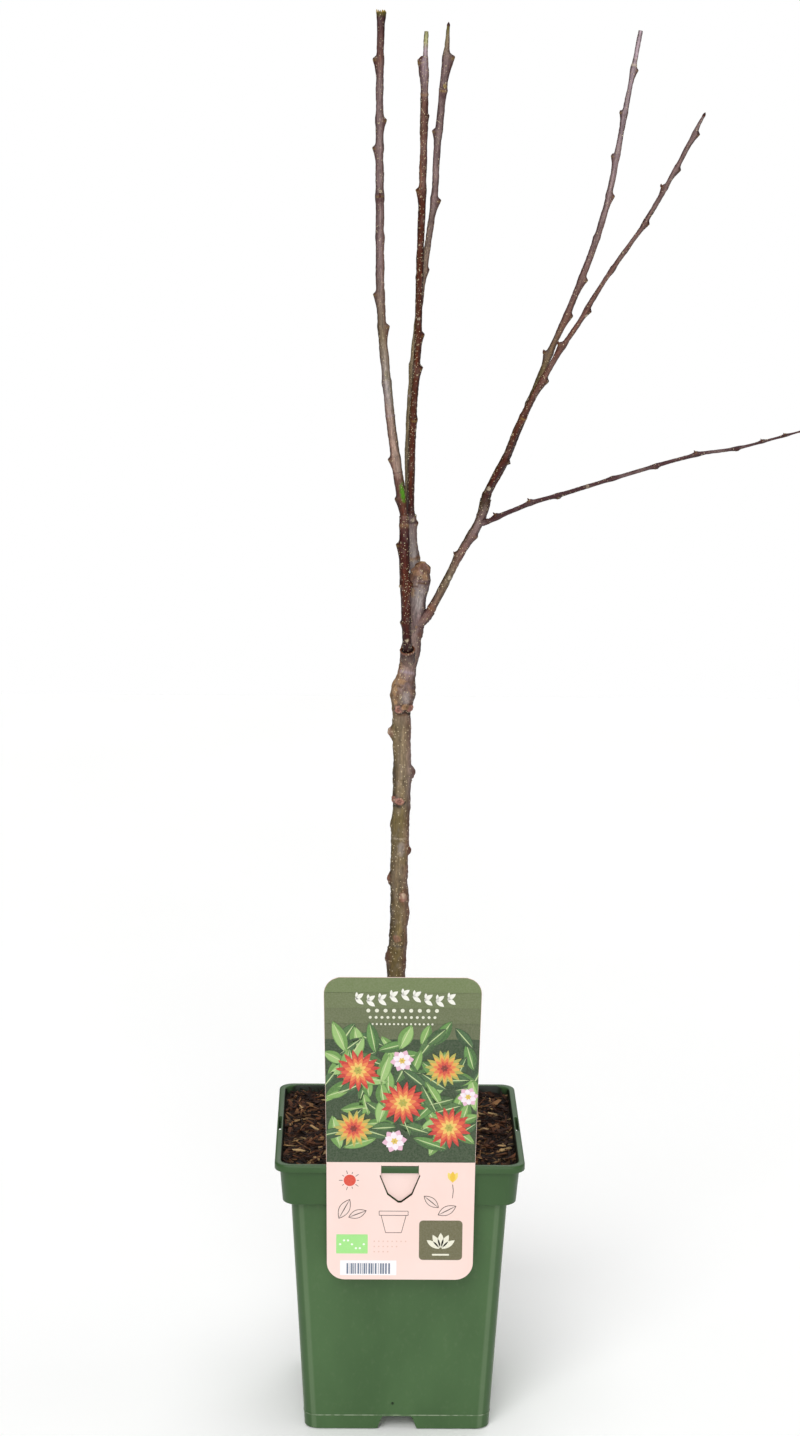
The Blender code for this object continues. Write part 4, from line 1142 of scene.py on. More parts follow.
LIMBS = (
    Trunk(
        "trunk", on="pot", foot=(-1.3, 0.0, 220.3), tip=(14.4, 3.1, 671.5),
        bends=rows(
            "0.29 -6.1 -0.9; 0.39 -5.8 -1.2; 0.48 -7.7 -1.5; 0.63 -8.5 -2; 0.7 -10.2 -2.2; 0.77 -11.3 -2.4; "
            "0.81 -8.7 -2; 0.88 -5.1 -0.8; 0.94 -2.6 0.8"
        ),
        taper=rows("0 7.9; 0.3 7.25; 0.48 6.8; 0.72 7; 0.9 6.2; 1 6.1"),
        tones=rows(
            "0 UMBER UMBER PITH; 0.06 OLIVE UMBER ROSE; 0.35 OLIVE UMBER ROSE; "
            "0.46 TAUPE UMBER ROSE; 0.56 OLIVE OLIVE ROSE; 0.63 TAUPE UMBER MAUVE; "
            "0.72 TAUPE OLIVE ROSE; 0.8 MAUVE CALLUS DUSK; 0.84 FAWN RUST DUSK; "
            "0.9 MAUVE ROSE DUSK; 0.95 SILVER MAUVE DUSK; "
            "0.972 MAUVE ROSE DUSK; 1 ROSE NUT ROSE"
        ),
        # The creases in the pith and shadow tones are painted shade in the folds; the silvery patches are
        # partly the bark's silvery skin and partly a painted highlight.
        marks=rows(
            "KNOT 0.314 195 5.5 5 2 ROSE 0.5; EYE 0.349 262 3 3 0.9 PINK 0.45; "
            "CREASE 0.336 270 0.8 4.5 0.5 SHADOW 0.7; PATCH 0.305 328 5 2.6 0 RUST 0.5; "
            "EYE 0.394 80 4 3.4 1.4 PINK 0.4; SCAR 0.423 294 4.2 2.8 0.9 PINK 0.7; "
            "PATCH 0.426 294 2.2 1.6 0 CREAM 0.6; KNOT 0.392 0 4 3 0.6 ROSE 0.2; "
            "KNOT 0.453 180 4.2 3.4 2.6 PINK 0.5; PATCH 0.49 309 6 3.2 0 MOSS 0.35; "
            "KNOT 0.502 0 3.4 2.8 1.9 RUST 0.7; PATCH 0.508 279 6 3 0.1 SILVER 0.45; "
            "CREASE 0.526 263 0.7 5.4 -0.35 CREAM 0.55; KNOT 0.547 172 5 4.2 1.1 TAUPE 0.3; "
            "EYE 0.555 95 3.8 3.2 1.4 PINK 0.4; CREASE 0.583 238 1.1 5.2 0.3 SHADOW 0.85; "
            "KNOT 0.593 238 4.2 6.2 1.2 RUST 0.6; EYE 0.594 216 2.8 2.6 0.9 PINK 0.95; "
            "EYE 0.592 258 2.8 2.8 1 PINK 0.95; CREASE 0.629 269 0.45 4.6 0.2 UMBER 0.5; "
            "KNOT 0.64 0 4.2 3.6 3.2 RUST 0.6; EYE 0.682 75 3.8 3.4 1.7 CALLUS 0.5; "
            "KNOT 0.71 182 4.6 4 3.6 PINK 0.55; EYE 0.712 186 2.2 2.2 0.6 CREAM 0.4; "
            "CREASE 0.742 285 0.9 6.4 0.2 PITH 0.7; KNOT 0.753 288 4.4 8 1.3 RUST 0.85; "
            "EYE 0.752 253 3 3 1.2 PINK 0.95; EYE 0.757 286 2.4 2.4 1 CALLUS 0.9; "
            "EYE 0.753 318 3 2.8 1.8 PINK 0.95; CREASE 0.79 235 0.8 4.6 -0.4 PITH 0.8; "
            "KNOT 0.798 246 2.6 3.4 0.9 CALLUS 0.7; KNOT 0.781 228 4 2 1.3 CALLUS 0.9; "
            "CREASE 0.775 246 2.4 1.2 -0.5 PITH 0.8; KNOT 0.772 262 3.6 1.5 0.8 TAUPE 0.8; "
            "KNOT 0.764 232 2.6 2.2 0.8 CALLUS 0.8; PATCH 0.772 286 5 3.8 0.2 SILVER 0.6; "
            "PATCH 0.786 60 8 7 0.4 SILVER 0.4; CREASE 0.815 263 1.3 7.5 -0.5 HAZE 0.7; "
            "CREASE 0.826 262 1.3 7 0.5 SHADOW 0.12; PATCH 0.878 326 4 3 0.2 NUT 0.6; "
            "KNOT 0.897 352 10 5 1.7 DUSK 0.3; PATCH 0.888 322 10 2.8 0 DUSK 0.55; "
            "EYE 0.892 283 1.1 1.1 0.4 CALLUS 0.5; EYE 0.884 262 1 1 0.4 CREAM 0.4; "
            "KNOT 0.969 192 7 5 3.2 NUT 0.6; PATCH 0.95 222 4 2.2 0.3 CALLUS 0.7; "
            "KNOT 0.984 236 3 2.6 0.9 CALLUS 0.4; CREASE 0.977 262 2.6 0.8 -0.6 PITH 0.85; "
            "KNOT 0.981 292 3.4 2.6 0.8 CALLUS 0.5; CREASE 0.968 278 0.8 5 -0.5 PITH 0.85; "
            "CREASE 0.961 236 0.7 3 -0.4 PITH 0.8; PATCH 0.935 280 7 2.4 0.2 SILVER 0.7"
        ),
        slot="trunk_bark", ending=Tip.HEALED, seed=11, sides=72, ring_mm=0.65, lumpy_mm=0.3, pores_cm2=3.4,
        sunk_mm=1.6,
    ),
    Limb(
        "front_shoot", on="trunk", foot=(2.9, -10.4, 607.4), tip=(-0.5, -7.0, 708.8),
        bends=rows("0.05 -0.3 -2.3; 0.16 -0.3 -3.4; 0.39 -0.5 -3.9; 0.68 -0.8 -3.1; 0.88 -0.3 -1.4"),
        taper=rows("0 3.6; 0.15 3.4; 0.45 3.9; 0.7 3.9; 1 3.6"),
        buds=rows("0.21 180 0.5; 0.79 180; 0.5 20"),
        tones=rows(
            "0 WINE WINE WINE; 0.1 CHESTNUT WINE WINE; "
            "0.45 RUST WINE CHESTNUT; 0.85 CHESTNUT WINE WINE; "
            "1 ROSE CHESTNUT DUSK"
        ),
        marks=rows(
            "RING 0.483 270 0.8 1 0.3 RUST 0.4; SCAR 0.483 205 1.1 1.5 0.5 CREAM 0.85; "
            "SCAR 0.079 275 1 1.1 0.3 CREAM 0.85; RING 0.93 270 1.2 1 0.3 CALLUS 0.4"
        ),
        seed=12, lumpy_mm=0.12, pores_cm2=10.0, collar_length=14.0, collar_swell=1.55,
        cup=1.9,
    ),
    Limb(
        "left_shoot", on="front_shoot", foot=(-0.9, -6.9, 709.4), tip=(-20.7, 41.0, 1077.5),
        bends=rows("0.08 -2.7 -0.2; 0.19 -6.5 -0.7; 0.41 -10 0.1; 0.62 -7.4 0.3; 0.83 -4 0.1"),
        taper=rows("0 2.9; 0.03 3.7; 0.3 3.3; 0.66 3.1; 0.93 2.7; 0.98 2.9; 1 3.8"),
        buds=rows(
            "0.035 180 0.6; 0.115 180; 0.27 90; 0.38 0; 0.445 180; 0.56 80; 0.64 270; 0.735 180; 0.79 0; "
            "0.91 180 1.25"
        ),
        tones=rows(
            "0 RUST WINE CHESTNUT; 0.07 ROSE WINE UMBER; 0.088 FAWN RUST UMBER; "
            "0.178 FAWN RUST UMBER; 0.19 FAWN RUST UMBER; 0.25 SILVER DUSK OLIVE; "
            "0.36 TAUPE UMBER ROSE; 0.5 MAUVE DUSK ROSE; "
            "0.86 MAUVE DUSK DUSK; 0.91 ROSE DUSK DUSK; "
            "0.99 DUSK DUSK WINE; 1 MOSS MOSS MOSS"
        ),
        marks=rows(
            "PATCH 0.045 294 7 2 -0.2 GREEN 1; RING 0.086 270 0.7 1 0.2 DUSK 0.6; "
            "RING 0.201 270 0.8 1 0.2 HAZE 0.4; PATCH 0.283 276 4 1.4 0 MOSS 0.5; "
            "RING 0.63 270 1.6 1 0.1 DUSK 0.7; EYE 0.648 278 1.2 1.1 0.3 CREAM 0.8; "
            "RING 0.93 270 0.8 1 0.15 DUSK 0.5"
        ),
        ending=Tip.TORN, seed=13, pores_cm2=3.0, pores_from=0.1,
    ),
    Limb(
        "rear_bough", on="trunk", foot=(10.2, 14.2, 645.0), tip=(4.9, 11.0, 706.3),
        bends=rows("0.13 0.2 3.5; 0.36 0.2 4.5; 0.67 -0.5 3.3; 0.88 -0.1 1.2"),
        taper=rows("0 4.2; 0.35 4.4; 0.7 3.7; 1 3.9"),
        buds=rows("0.9 0 0.6"),
        tones=rows(
            "0 SILVER DUSK DUSK; 0.5 SILVER DUSK DUSK; 1 MAUVE DUSK ROSE"
        ),
        marks=rows(
            "RING 0.45 270 1.4 1 0.35 CALLUS 0.6; EYE 0.468 300 1.8 1.6 0.5 NUT 0.6; "
            "RING 0.93 270 1 1 0.3 DUSK 0.6; EYE 0.965 285 1.5 1.4 0.3 CREAM 0.8"
        ),
        slot="bough_bark", seed=14, lumpy_mm=0.22, pores_cm2=5.0, collar_length=12.0,
    ),
    Limb(
        "centre_shoot", on="rear_bough", foot=(4.4, 9.5, 710.4), tip=(11.2, -45.0, 1065.6),
        bends=rows("0.11 -0.5 0.6; 0.22 -0.2 1; 0.35 1.3 1.4; 0.53 0.9 1.2; 0.71 1 1.4; 0.93 -0.2 0.3"),
        taper=rows("0 2.9; 0.35 2.6; 0.92 2.8; 0.95 1.8; 1 1.4"),
        buds=rows("0.2 290; 0.31 0; 0.38 0; 0.5 90; 0.68 180; 0.83 60; 0.943 180 1.9"),
        tones=rows(
            "0 CHESTNUT WINE WINE; 0.07 RUST UMBER WINE; 0.44 RUST UMBER WINE; "
            "0.66 RUST CHESTNUT WINE; 0.69 ROSE NUT CHESTNUT; "
            "0.86 ROSE UMBER CHESTNUT; 0.89 MAUVE DUSK ROSE; "
            "0.965 HAZE DUSK ROSE; 0.98 WOOD MOSS MOSS; "
            "1 WOOD MOSS MOSS"
        ),
        marks=rows(
            "EYE 0.414 275 1.1 1 0.25 CREAM 0.8; EYE 0.178 320 1.2 1.1 0.25 CREAM 0.8; "
            "RING 0.875 270 0.9 1 0.3 CALLUS 0.5"
        ),
        seed=15, pores_cm2=9.0,
    ),
    Limb(
        "crossing_shoot", on="rear_bough", foot=(3.5, 15.2, 712.1), tip=(29.2, 40.0, 1068.2),
        bends=rows(
            "0.06 -2.6 0.4; 0.14 -4.7 0.4; 0.3 -5.9 0.5; 0.45 -4.1 0.7; 0.66 0 -0.1; 0.73 -0.9 -0.2; "
            "0.92 0.2 0"
        ),
        taper=rows("0 2.4; 0.6 2.4; 0.93 2.9; 0.96 1.8; 1 1.3"),
        buds=rows("0.3 100; 0.5 60; 0.645 0 1.2; 0.785 180; 0.87 270; 0.94 0 1.7"),
        tones=rows(
            "0 TAUPE OLIVE RUST; 0.4 TAUPE OLIVE ROSE; 0.65 MAUVE DUSK DUSK; "
            "0.93 MAUVE DUSK DUSK; 0.97 TAUPE MOSS DUSK; "
            "1 MOSS MOSS DUSK"
        ),
        marks=rows(
            "EYE 0.878 288 1.3 1.2 0.3 STRAW 0.9; PATCH 0.857 290 2.4 1.6 0 DUSK 0.7; "
            "EYE 0.593 200 1.2 1 0.25 CREAM 0.7; RING 0.234 270 0.7 1 0.15 HAZE 0.5"
        ),
        ending=Tip.BUD, seed=16, pores_cm2=3.5,
    ),
    Limb(
        "right_bough", on="trunk", foot=(20.3, 0.0, 635.4), tip=(61.0, 6.0, 720.2),
        bends=rows("0.3 0.9 0.2; 0.48 0.9 0.3; 0.78 3.3 0.3; 0.9 2.3 0.1"),
        taper=rows("0 3.3; 0.4 3; 0.8 3.6; 1 4.2"),
        buds=rows("0.5 180 0.5; 0.7 330 0.6"),
        tones=rows(
            "0 ROSE DUSK WINE; 0.3 TAUPE UMBER UMBER; 0.5 ROSE UMBER DUSK; "
            "0.8 MAUVE UMBER DUSK; 1 UMBER UMBER CHESTNUT"
        ),
        marks=rows(
            "RING 0.02 270 1.5 1 0.35 NUT 0.7; EYE 0.304 285 1.4 1.2 0.3 CREAM 0.85; "
            "RING 0.86 270 1 1 0.3 DUSK 0.5"
        ),
        slot="bough_bark", seed=17, lumpy_mm=0.18, pores_cm2=4.0, collar_length=13.0,
    ),
    Limb(
        "right_inner_shoot", on="right_bough", foot=(63.3, 9.6, 724.6), tip=(174.4, 69.0, 1065.9),
        bends=rows(
            "0.07 4.4 -1.4; 0.14 6.4 -3; 0.32 10.8 -5; 0.41 14.3 -3.7; 0.56 17.2 -2.6; 0.66 15.9 -2; "
            "0.83 8 -1.1"
        ),
        taper=rows("0 2.6; 0.3 2.4; 0.5 2.5; 0.8 2.1; 1 1.7"),
        buds=rows("0.2 90; 0.31 180; 0.4 0; 0.48 0; 0.57 90; 0.66 0; 0.74 180; 0.83 180; 0.92 0"),
        tones=rows(
            "0 RUST UMBER WINE; 0.12 CHESTNUT UMBER WINE; 0.25 OLIVE UMBER CHESTNUT; "
            "0.4 ROSE DUSK DUSK; 0.6 MAUVE DUSK ROSE; "
            "1 HAZE DUSK DUSK"
        ),
        marks=rows(
            "EYE 0.012 265 1.6 1.4 0.4 CREAM 0.85; RING 0.075 270 0.8 1 0.2 DUSK 0.5; "
            "KNOT 0.072 0 1.2 1 1.8 RUST 0.7; RING 0.207 270 0.8 1 0.2 CREAM 0.5; "
            "RING 0.497 270 0.8 1 0.2 DUSK 0.4; RING 0.929 270 0.9 1 0.2 CREAM 0.6"
        ),
        seed=18, pores_cm2=3.5,
    ),
    Limb(
        "right_outer_shoot", on="right_bough", foot=(61.8, 2.6, 725.6), tip=(210.3, -55.0, 1008.1),
        bends=rows(
            "0.04 -0.9 0.1; 0.1 -1.2 0.9; 0.18 -4.4 2.3; 0.36 -5.3 4; 0.45 -3.3 3.5; 0.54 -2.8 3.7; "
            "0.63 -0.6 3.8; 0.72 2 2.9; 0.87 2.1 1.8"
        ),
        taper=rows("0 2.6; 0.28 2.4; 0.38 2; 0.6 1.7; 0.95 1.7; 1 1.1"),
        buds=rows("0.09 10; 0.2 280; 0.3 0; 0.39 180; 0.49 0; 0.6 90; 0.73 0; 0.82 180; 0.87 0; 0.96 0 1.3"),
        tones=rows(
            "0 CHESTNUT UMBER WINE; 0.15 RUST UMBER WINE; 0.3 ROSE RUST WINE; "
            "0.5 ROSE DUSK WINE; 1 MAUVE DUSK WINE"
        ),
        marks=rows(
            "EYE 0.012 265 1.5 1.7 0.5 CREAM 0.85; EYE 0.478 320 1.1 0.9 0.25 CREAM 0.7; "
            "EYE 0.645 240 1 0.8 0.25 CREAM 0.7; RING 0.12 270 0.8 1 0.2 WINE 0.5"
        ),
        ending=Tip.BUD, seed=19, sides=20, pores_cm2=4.5,
    ),
    Limb(
        "side_twig", on="right_bough", foot=(63.6, 1.3, 704.2), tip=(285.0, -70.0, 783.1),
        bends=rows(
            "0.08 -2.6 -0.6; 0.16 -4.8 -2.3; 0.24 -4.8 -3.7; 0.45 -5.7 -4.4; 0.69 -5.3 -3.3; 0.81 -1.3 -1.6"
        ),
        taper=rows("0 1.9; 0.3 1.6; 0.7 1.4; 1 0.7"),
        buds=rows(
            "0.03 180 0.7; 0.15 180 0.7; 0.24 0 0.7; 0.42 90 0.7; 0.56 0 0.7; 0.69 180 0.7; 0.81 0 0.7; "
            "0.89 180 0.7; 0.96 180 0.7"
        ),
        tones=rows("0 DUSK DUSK WINE; 1 DUSK DUSK WINE"),
        # The long mauve strips down the front are a painted highlight.
        marks=rows(
            "RING 0.338 270 0.8 1 0.2 CREAM 0.5; PATCH 0.5 270 14 1.2 0 MAUVE 0.4; "
            "PATCH 0.75 270 10 1 0 MAUVE 0.4"
        ),
        ending=Tip.BUD, seed=20, sides=16, ring_mm=1.0, lumpy_mm=0.09, pores_cm2=4.0, collar_length=5.0,
    ),
)


@dataclass
class AppleTree:
    """The tree above the soil: the trunk, its boughs and their shoots."""

    trunk_bark: Bark = Bark("trunk bark, thin grown cork over green rind", 0.58, 1.45, 0.3, 0.26, 0.5, 3.0)
    bough_bark: Bark = Bark("bough bark, two years grown", 0.5, 1.45, 0.35, 0.24, 0.45, 2.6)
    shoot_bark: Bark = Bark("shoot bark, one year grown and waxy", 0.46, 1.45, 0.3, 0.28, 0.36, 2.0)
    bud_scale: Speckled = Speckled(
        "bud scales, overlapping and downy", 0.6, 1.45, 0.3,
        ((0.35, "#34170F"), (0.55, "#53281D"), (0.75, "#7B5A48")), (0.9, 0.9, 0.6), 0.15,
    )
    pore: Speckled = Speckled(
        "lenticel cork, raised and dry", 0.8, 1.45, 0.2,
        ((0.3, "#C0AC80"), (0.7, "#E8DCB9")), (0.8, 0.8, 0.8), 0.05,
    )

    def build(self) -> None:
        """Grow each limb with its own finish."""
        barks = {slot: getattr(self, slot).build() for slot in ("trunk_bark", "bough_bark", "shoot_bark")}
        pore = self.pore.build()
        sizes = {"Length": 3.4 * MM, "Width": 2.3 * MM, "Flatness": 0.8}
        buds = BudScales("buds", self.bud_scale.build(), sizes)
        for seed, limb in enumerate(LIMBS, 40):
            size = (1.1, 0.85, 0.42) if limb.slot == "trunk_bark" else (0.9, 0.72, 0.38)
            pores = Scatter(limb.name + " pores", pore, lump_sizes(limb.pores_cm2, size), seed, 0.5, 1.1)
            limb.build([child for child in LIMBS if child.on == limb.name], barks[limb.slot], pores, buds)


@dataclass
class NurseryPot:
    """The square tapered pot: half widths run from its middle to the outside of a wall."""

    height: float = 225.0
    wall: float = 1.6
    corner: float = 11.0
    corner_steps: int = 12
    foot: float = 71.9
    body_top: float = 82.8
    body_top_at: float = 190.4
    collar_low: float = 89.2
    collar_high: float = 91.4
    collar_at: float = 192.7
    lip: float = 95.2
    lip_at: float = 219.2
    floor_at: float = 11.5
    floor_thickness: float = 2.0
    notch_height: float = 10.6
    notch_top: float = 24.0
    notch_ground: float = 31.0
    slot_length: float = 31.4
    slot_front: float = 94.1
    slot_back: float = 91.7
    drain_radius: float = 5.0
    drain_reach: float = 48.0
    pad_radius: float = 12.0
    finish: Moulded = Moulded("polypropylene, injection moulded satin", 0.42, 1.49, 0.3)

    def half(self, height: float) -> float:
        """The outside of the pot's body or collar at a height."""
        if height <= self.body_top_at:
            return self.foot + (self.body_top - self.foot) * height / self.body_top_at
        part = (height - self.collar_at) / (self.lip_at - self.collar_at)
        return self.collar_low + (self.collar_high - self.collar_low) * part

    def ring(self, half: float, height: float, radius: float) -> list[Vector]:
        """A square with rounded corners as a ring of points at one height."""
        ring = []
        for turn in around(4):
            centre = Matrix.Rotation(turn, 3, "Z") @ Vector((half - radius, half - radius, 0))
            for step in range(self.corner_steps + 1):
                angle = turn + step * QUARTER / self.corner_steps
                ring.append(centre + Vector((math.cos(angle), math.sin(angle), 0)) * radius + UP * height)
        return ring

    def shell(self) -> Mesh:
        """The pot's wall, floor, collar and lip with their rounded edges, as a closed mesh."""
        half, top, wall, step = self.half, self.height, self.wall, self.body_top_at
        lip, level, collar, skirt = self.lip, self.lip_at, self.collar_low, half(0) - wall
        inside = half(top) - wall
        inner_from, outer_from = 26, 3
        profile = (
            (skirt, self.floor_at), (skirt, 0.4), (skirt + 0.3, 0.0),
            (half(0) - 0.4, 0.0), (half(0.4), 0.4), (half(11.0), 11.0), (half(11.2) + 0.22, 11.25),
            (half(12.0) + 0.22, 11.95), (half(12.2), 12.2), (half(188.6), 188.6), (half(189.9) + 0.1, 189.9),
            (self.body_top + 0.6, step + 0.05), (collar - 1.4, step + 0.6), (collar - 0.6, step + 0.85),
            (collar - 0.15, step + 1.35), (collar, self.collar_at - 0.2), (half(218.2), 218.2),
            (half(218.9) + 0.1, 218.85), (half(219.2) + 0.45, level), (lip - 0.7, level),
            (lip - 0.2, level + 0.2), (lip, level + 0.7), (lip, top - 1.3), (lip - 0.18, top - 0.62),
            (lip - 0.62, top - 0.16), (lip - 1.3, top),
            (inside + 0.9, top), (inside + 0.4, top - 0.16), (inside + 0.1, top - 0.6),
            (half(top - 1.4) - wall, top - 1.4), (half(self.collar_at + wall) - wall, self.collar_at + wall),
            (self.body_top - wall + 0.6, step + 0.9), (self.body_top - wall, step), (half(16.0) - wall, 16.0),
            (half(self.floor_at) - wall - 2.0, self.floor_at + self.floor_thickness),
        )
        outer = range(outer_from, inner_from)
        bm = bmesh.new()
        tube(bm, [self.ring(*at, self.corner - wall * (i not in outer)) for i, at in enumerate(profile)])
        return meshed(bm, "pot_moulding")

    def cutters(self) -> Mesh:
        """The notches in the feet, the slots in the lip and the drain holes, as one mesh of closed prisms."""
        bm = bmesh.new()
        ground, top, rise = self.notch_ground / 2, self.notch_top / 2, self.notch_height
        notch = mirrored(((ground + 0.3, -1.0), *((top - short, rise - drop) for short, drop in rows(
            "-0.5 2.6; 0.2 1; 1.2 0.2; 2.6 0"))))
        slot, end = self.slot_length / 2, self.slot_length / 2 - 1.2
        front, back = -self.slot_front, -self.slot_back
        plan = mirrored(((end, front), (slot, front + 0.5), (slot, back - 0.5), (end, back)))

        def prism(outline: Sequence[Vector], shift: Vector) -> None:
            """Add a closed prism from an outline and the vector that it is drawn out along."""
            face = bm.faces.new([bm.verts.new(point * MM) for point in outline])
            made = bmesh.ops.extrude_face_region(bm, geom=[face])["geom"]
            moved = [vertex for vertex in made if isinstance(vertex, bmesh.types.BMVert)]
            bmesh.ops.translate(bm, vec=shift * MM, verts=moved)

        for quarter in range(4):
            turn = Matrix.Rotation(quarter * QUARTER, 3, "Z")
            prism([turn @ Vector((x, -self.foot - 5.0, z)) for x, z in notch], turn @ (DEPTH * 12.0))
            prism([turn @ Vector((x, y, self.lip_at - 1.0)) for x, y in plan], UP * 8.0)
            for aside in (self.drain_reach, 0):
                middle = turn @ Vector((self.drain_reach, aside, 0)) + UP * (self.floor_at - 1.0)
                rim = [Vector((math.cos(a), math.sin(a), 0)) * self.drain_radius for a in around(24)]
                prism([middle + point for point in rim], UP * 5.0)
        x, y, z = self.finish.pit
        prism([Vector((x + math.cos(a), y - 1.0, z + math.sin(a))) for a in around(16)], DEPTH * 1.9)
        return meshed(bm, "pot cutters")

    def add_details(self, mesh: Mesh) -> None:
        """Add the boss under the floor, as low as the feet, and the sleeves of the slots in the lip."""
        bm = bmesh.new()
        bm.from_mesh(mesh)
        boss = ((0.6, 1.0), (1.0, -0.4), (0.0, -1.4), (0.0, 0.5 - self.floor_at), (-0.5, -self.floor_at))
        made = tube(bm, [
            [Vector((math.cos(a) * (self.pad_radius + extra), math.sin(a) * (self.pad_radius + extra),
                     self.floor_at + height)) for a in around(48)]
            for extra, height in boss
        ])
        half, low, high = self.slot_length / 2, self.lip_at - 4.8, self.lip_at + 0.4
        for quarter in (1, 2, 3):
            turn = Matrix.Rotation(quarter * QUARTER, 3, "Z")
            rings = []
            for grow, height in ((0.0, low), (0.0, high), (0.8, high), (0.8, low)):
                x, back, front = half + grow, self.slot_back - grow, self.slot_front + grow * 0.9
                plan = ((-x, -front), (x, -front), (x, -back), (-x, -back))
                rings.append([turn @ Vector((a, b, height)) for a, b in plan])
            made += tube(bm, rings, endless=True)
        bmesh.ops.recalc_face_normals(bm, faces=made)
        bm.to_mesh(mesh)
        bm.free()

    def build(self) -> None:
        """Make the pot in its solid's place."""
        pot = linked("pot shell", self.shell())
        cutter = linked("pot cutters", self.cutters())
        modifier = pot.modifiers.new("cut", "BOOLEAN")
        modifier.operation = "DIFFERENCE"
        modifier.object = cutter
        modifier.solver = "EXACT"
        mesh = evaluated(pot)
        bpy.data.objects.remove(cutter, do_unlink=True)
        self.add_details(mesh)
        soften(mesh, 38.0)
        mesh.materials.clear()
        mesh.materials.append(self.finish.build())
        shown("pot_moulding", mesh, "pot", "pot")


@dataclass
class PottingMix:
    """The mix that fills the pot: its lumpy top, and the bark chips and fibres that lie on it.

    A kind of lump has a name, size, least and most share of it, number on a square centimetre, seed, lean and
    roughness.
    """

    pot: NurseryPot
    top: float = 220.0
    edge_drop: float = 1.2
    gap: float = 0.3
    cells: int = 96
    # The near-black base of the mix is partly the peat's own colour and partly painted shade between the
    # chips.
    mix: Speckled = Speckled(
        "potting mix, damp peat and composted bark", 0.95, 1.4, 0.3,
        ((0.3, "#0C0705"), (0.5, "#1B110C"), (0.72, "#332217")), (3.0, 3.0, 3.0), 0.8,
    )
    chip: ChipFinish = ChipFinish("bark chips, shredded and composted", 0.8, 1.45, 0.2)
    kinds: tuple[tuple, ...] = (
        ("bark_chips", (17.0, 2.4, 1.0), 0.45, 1.4, 3.6, 61, 0.3, 1.0),
        ("fibres", (23.0, 1.1, 0.9), 0.4, 1.3, 2.6, 62, 0.35, 1.5),
        ("crumbs", (4.0, 2.2, 1.6), 0.4, 1.3, 4.0, 63, 0.3, 0.7),
    )

    def rise(self, x: float, y: float) -> float:
        """The mix's small rises and dips at a place, flat under the trunk."""
        calm = min(max((math.hypot(x, y) - 16.0) / 12.0, 0.0), 1.0)
        wave = math.sin(x * 0.16 + 1.3) * math.cos(y * 0.13 - 0.4) + 0.6 * math.sin((x - y) * 0.31)
        return calm * 1.1 * wave

    def edge(self, u: float, v: float, half: float, radius: float) -> tuple[float, float]:
        """Map a point of the square from -1 to 1 into a rounded square of some half width."""
        away = max(abs(u), abs(v))
        if away == 0:
            return 0.0, 0.0
        short = min(abs(u), abs(v)) / away
        flat = (half - radius) / half
        reach, aside = half, short * half
        if short > flat:
            angle = (short - flat) / (1 - flat) * math.pi / 4
            reach, aside = (half - radius + radius * part for part in (math.cos(angle), math.sin(angle)))
        x, y = (reach, aside) if abs(u) >= abs(v) else (aside, reach)
        return math.copysign(x, u) * away, math.copysign(y, v) * away

    def surface(self) -> Mesh:
        """The mix as a closed mesh with a lumpy top, where its scatter attribute is one."""
        rng = np.random.default_rng(31)
        gap = self.pot.wall + self.gap
        half, radius = self.pot.half(self.top) - gap, self.pot.corner - gap
        count, row = self.cells, self.cells + 1
        steps = np.linspace(-1, 1, row)
        waves = [(rng.uniform(-1.1, 1.1), rng.uniform(-1.1, 1.1), rng.uniform(0, TURN)) for _ in range(40)]
        points, scatter = [], []
        for v in steps:
            for u in steps:
                x, y = self.edge(u, v, half, radius)
                away = max(abs(u), abs(v))
                fine = sum(math.sin(a * x + b * y + c) for a, b, c in waves) / math.sqrt(len(waves))
                z = self.top - self.edge_drop * away**6 + self.rise(x, y) + 0.45 * fine
                points.append((x * MM, y * MM, z * MM))
                scatter.append(1.0 if away < 0.985 and math.hypot(x + 1.3, y) > 11.0 else 0.0)
        lows = [j * row + i for j in range(count) for i in range(count)]
        faces = [(low, low + 1, low + row + 1, low + row) for low in lows]
        border = [*range(row), *range(row + count, row * row, row)]
        border += [*range(row * row - 2, count * row - 1, -1), *range((count - 1) * row, 0, -row)]
        step, floor = self.pot.collar_at + gap, self.pot.floor_at
        levels = (
            (self.pot.half(step) - gap, step),
            (self.pot.body_top - gap, self.pot.body_top_at + self.gap),
            (self.pot.half(floor) - gap - 2.0, floor + self.pot.floor_thickness + self.gap),
        )
        last = border
        for level_half, level in levels:
            share = level_half / half
            ring = list(range(len(points), len(points) + len(border)))
            points += [(points[i][0] * share, points[i][1] * share, level * MM) for i in border]
            after = ring[1:] + ring[:1]
            faces += list(zip(last, ring, after, last[1:] + last[:1]))
            last = ring
        faces.append(tuple(reversed(last)))
        mesh = bpy.data.meshes.new("potting_mix")
        mesh.from_pydata(points, [], faces)
        attach(mesh, "scatter", "FLOAT", scatter + [0.0] * (len(points) - len(scatter)))
        soften(mesh, 50.0)
        return mesh

    def build(self) -> None:
        """Make the mix and its chips, fibres and crumbs."""
        mesh = self.surface()
        mesh.materials.append(self.mix.build())
        shown("potting_mix", mesh, "soil", "soil")
        chip = self.chip.build()
        for name, size, least, most, density, seed, lean, rough in self.kinds:
            lumps = Scatter(name, chip, lump_sizes(density, size), seed, least, most, lean, rough).on(mesh)
            self.keep_inside(lumps)
            shown("soil_" + name, lumps, "soil")

